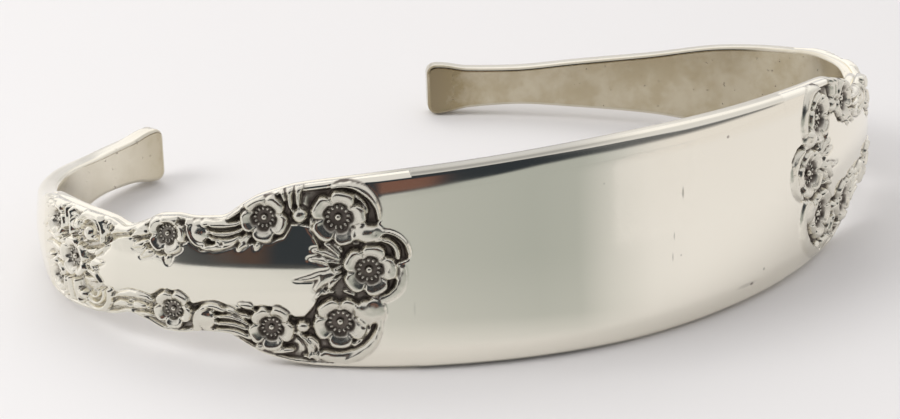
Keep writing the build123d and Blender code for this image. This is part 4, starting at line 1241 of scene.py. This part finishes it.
# Cards: name, rows, reach in metres, width of the soft edge in degrees, glow
CARDS = (
    ("dark_room", DARK_ROOM_REFLECTION, 0.90, 3.0, (0.031, 0.037, 0.044)),
    ("grey_wall", GREY_WALL_REFLECTION, 0.97, 2.5, GREY_GLOW),
    ("pale_wall", PALE_WALL_REFLECTION, 0.97, 2.5, PALE_GLOW),
    ("brown_card_left", BROWN_LEFT_REFLECTION, 0.80, 4.0, (0.095, 0.055, 0.040)),
    ("brown_card_right", BROWN_RIGHT_REFLECTION, 0.80, 4.0, (0.200, 0.100, 0.075)),
    ("bright_card", BRIGHT_HIGHLIGHT_CARD, 0.90, 4.0, (1.15, 1.13, 1.12)),
)

# Fans: name, rows, reaches, layers over the floor, glow
FLOOR_FANS = (
    ("pale_floor", PALE_FLOOR_REFLECTION, PALE_REACHES, 1, PALE_GLOW),
    ("grey_floor", GREY_FLOOR_REFLECTION, GREY_REACHES, 1, GREY_GLOW),
    ("dark_floor", DARK_FLOOR_REFLECTION, DARK_REACHES, 2, (0.045, 0.047, 0.050)),
)
FAN_POINT = (-0.0084, -0.008, 0.0)
LAYER = 0.0001
SHEET_STEPS = 6

# Area lights: name, turn, rise, distance and size in metres, power
LIGHTS = (
    ("left_light", -103.0, 40.0, 0.34, 0.16, 0.46),
    ("back_light", 165.0, 55.0, 0.9, 0.6, 1.6),
)
FLOOR_COLOUR = (0.80, 0.785, 0.78)
FLOOR_ROUGHNESS = 0.45
FLOOR_RADIUS = 2.5
SKY_COLOUR = (1.0, 0.985, 0.985, 1.0)
SKY_STRENGTH = 0.74

# The camera: the way it stands from the cuff, its roll, its distance, its lens, and how far
# right of the origin and above it the middle of the picture looks
CAMERA_TURN = -31.189
CAMERA_RISE = 24.578
CAMERA_ROLL = 2.547
CAMERA_DISTANCE = 228.73
LENS = 121.29
SENSOR = 36.0
LOOK_RIGHT = -1.485
LOOK_UP = 1.213


def way_out(turn, rise=0.0):
    """The way at a turn from straight out of the front, and at a rise."""
    turn = math.radians(turn)
    rise = math.radians(rise)
    return Vector((math.sin(turn) * math.cos(rise), -math.cos(turn) * math.cos(rise), math.sin(rise)))


def glow_material(name, colour):
    """A plain glow that shows as far as the vertex value named cover allows."""
    material = bpy.data.materials.new(name)
    material.use_nodes = True
    tree = material.node_tree
    tree.nodes.remove(tree.nodes["Principled BSDF"])
    cover = add_node(tree, "ShaderNodeAttribute", attribute_name="cover")
    glow = add_node(tree, "ShaderNodeEmission", color=(*colour, 1.0), strength=1.0)
    clear = add_node(tree, "ShaderNodeBsdfTransparent")
    mixed = add_node(tree, "ShaderNodeMixShader")
    tree.links.new(cover.outputs["Fac"], mixed.inputs[0])
    tree.links.new(clear.outputs["BSDF"], mixed.inputs[1])
    tree.links.new(glow.outputs["Emission"], mixed.inputs[2])
    tree.links.new(mixed.outputs["Shader"], tree.nodes["Material Output"].inputs["Surface"])
    return material


def add_sheet(name, columns, colour):
    """A glowing sheet that shows only in the silver as a painted reflection, from columns of (place,
    cover).
    """
    points = [spot for column in columns for spot, cover in column]
    covers = [float(cover) for column in columns for spot, cover in column]
    mesh = bpy.data.meshes.new(name)
    mesh.from_pydata(points, [], quads(np.arange(len(points)).reshape(len(columns), -1)))
    mesh.attributes.new("cover", "FLOAT", "POINT").data.foreach_set("value", covers)
    mesh.materials.append(glow_material(name, colour))
    sheet = bpy.data.objects.new(name, mesh)
    bpy.context.scene.collection.objects.link(sheet)
    sheet.visible_camera = False
    sheet.visible_diffuse = False
    sheet.visible_shadow = False


def fine_rows(rows):
    """The rows of a table with more rows evenly between each two."""
    places = np.arange((len(rows) - 1) * SHEET_STEPS + 1) / SHEET_STEPS
    return np.transpose([np.interp(places, np.arange(len(rows)), column) for column in np.transpose(rows)])


def add_card(name, rows, reach, edge, colour):
    """A curved glowing card round the cuff, a painted reflection that shows only in the silver."""
    columns = []
    for turn, low, high, cover in fine_rows(rows):
        column = []
        for rise, share in ((low, 0.0), (low + edge, 1.0), (high - edge, 1.0), (high, 0.0)):
            up = Vector((0.0, 0.0, math.tan(math.radians(rise))))
            column.append(((way_out(turn) + up) * reach, share * cover))
        columns.append(column)
    add_sheet(name, columns, colour)


def add_floor_fan(name, rows, reaches, layers, colour):
    """A glowing fan just over the floor, a painted reflection that shows only in the silver."""
    start = Vector(FAN_POINT) + Vector((0.0, 0.0, layers * LAYER))
    columns = []
    for turn, cover in fine_rows(rows):
        columns.append([(start + way_out(turn) * reach, share * cover) for reach, share in reaches])
    add_sheet(name, columns, colour)


def add_area_light(name, turn, rise, distance, size, power):
    """A square soft light that faces the cuff."""
    light = bpy.data.lights.new(name, "AREA")
    light.shape = "SQUARE"
    light.size = size
    light.energy = power
    lamp = bpy.data.objects.new(name, light)
    way = way_out(turn, rise)
    lamp.location = way * distance
    lamp.rotation_mode = "QUATERNION"
    lamp.rotation_quaternion = way.to_track_quat("Z", "Y")
    lamp.visible_camera = False
    lamp.visible_glossy = False
    bpy.context.scene.collection.objects.link(lamp)


def build_stage():
    """A pale floor, the glowing cards and fans of painted reflections, and the lights."""
    bpy.ops.mesh.primitive_circle_add(vertices=96, radius=FLOOR_RADIUS, fill_type="NGON")
    floor = bpy.context.active_object
    floor.name = "floor"
    floor.data.materials.append(plain_material("floor", FLOOR_COLOUR, FLOOR_ROUGHNESS))
    for row in CARDS:
        add_card(*row)
    for row in FLOOR_FANS:
        add_floor_fan(*row)
    for row in LIGHTS:
        add_area_light(*row)
    world = bpy.data.worlds.new("studio")
    world.use_nodes = True
    sky = world.node_tree.nodes["Background"]
    sky.inputs["Color"].default_value = SKY_COLOUR
    sky.inputs["Strength"].default_value = SKY_STRENGTH
    bpy.context.scene.world = world
    bpy.context.scene.view_settings.view_transform = "Standard"


def build_camera():
    """The camera at the photograph's angle."""
    roll = math.radians(CAMERA_ROLL)
    back = way_out(CAMERA_TURN, CAMERA_RISE)
    level = way_out(CAMERA_TURN + 90.0)
    upright = back.cross(level)
    right = math.cos(roll) * level + math.sin(roll) * upright
    up = math.cos(roll) * upright - math.sin(roll) * level
    data = bpy.data.cameras.new("camera")
    data.sensor_width = SENSOR
    data.lens = LENS
    data.clip_start = 0.01
    data.clip_end = 20.0
    camera = bpy.data.objects.new("camera", data)
    spot = (level * LOOK_RIGHT + upright * LOOK_UP + back * CAMERA_DISTANCE) * MILLIMETRE
    turned = Matrix((right, up, back)).transposed().to_4x4()
    camera.matrix_world = Matrix.Translation(spot) @ turned
    bpy.context.scene.collection.objects.link(camera)
    bpy.context.scene.camera = camera


silver = silver_material()
band = make_object("band", build_band(), silver)
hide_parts("cuff")
for label, side, curls in (("left", -1, LEFT_CURLS), ("right", 1, RIGHT_CURLS)):
    relief = Relief(curls + BOTH_CURLS)
    make_object("relief_" + label, build_relief(side, relief), silver)
    make_object("beads_" + label, build_beads(side), silver)
build_stage()
build_camera()
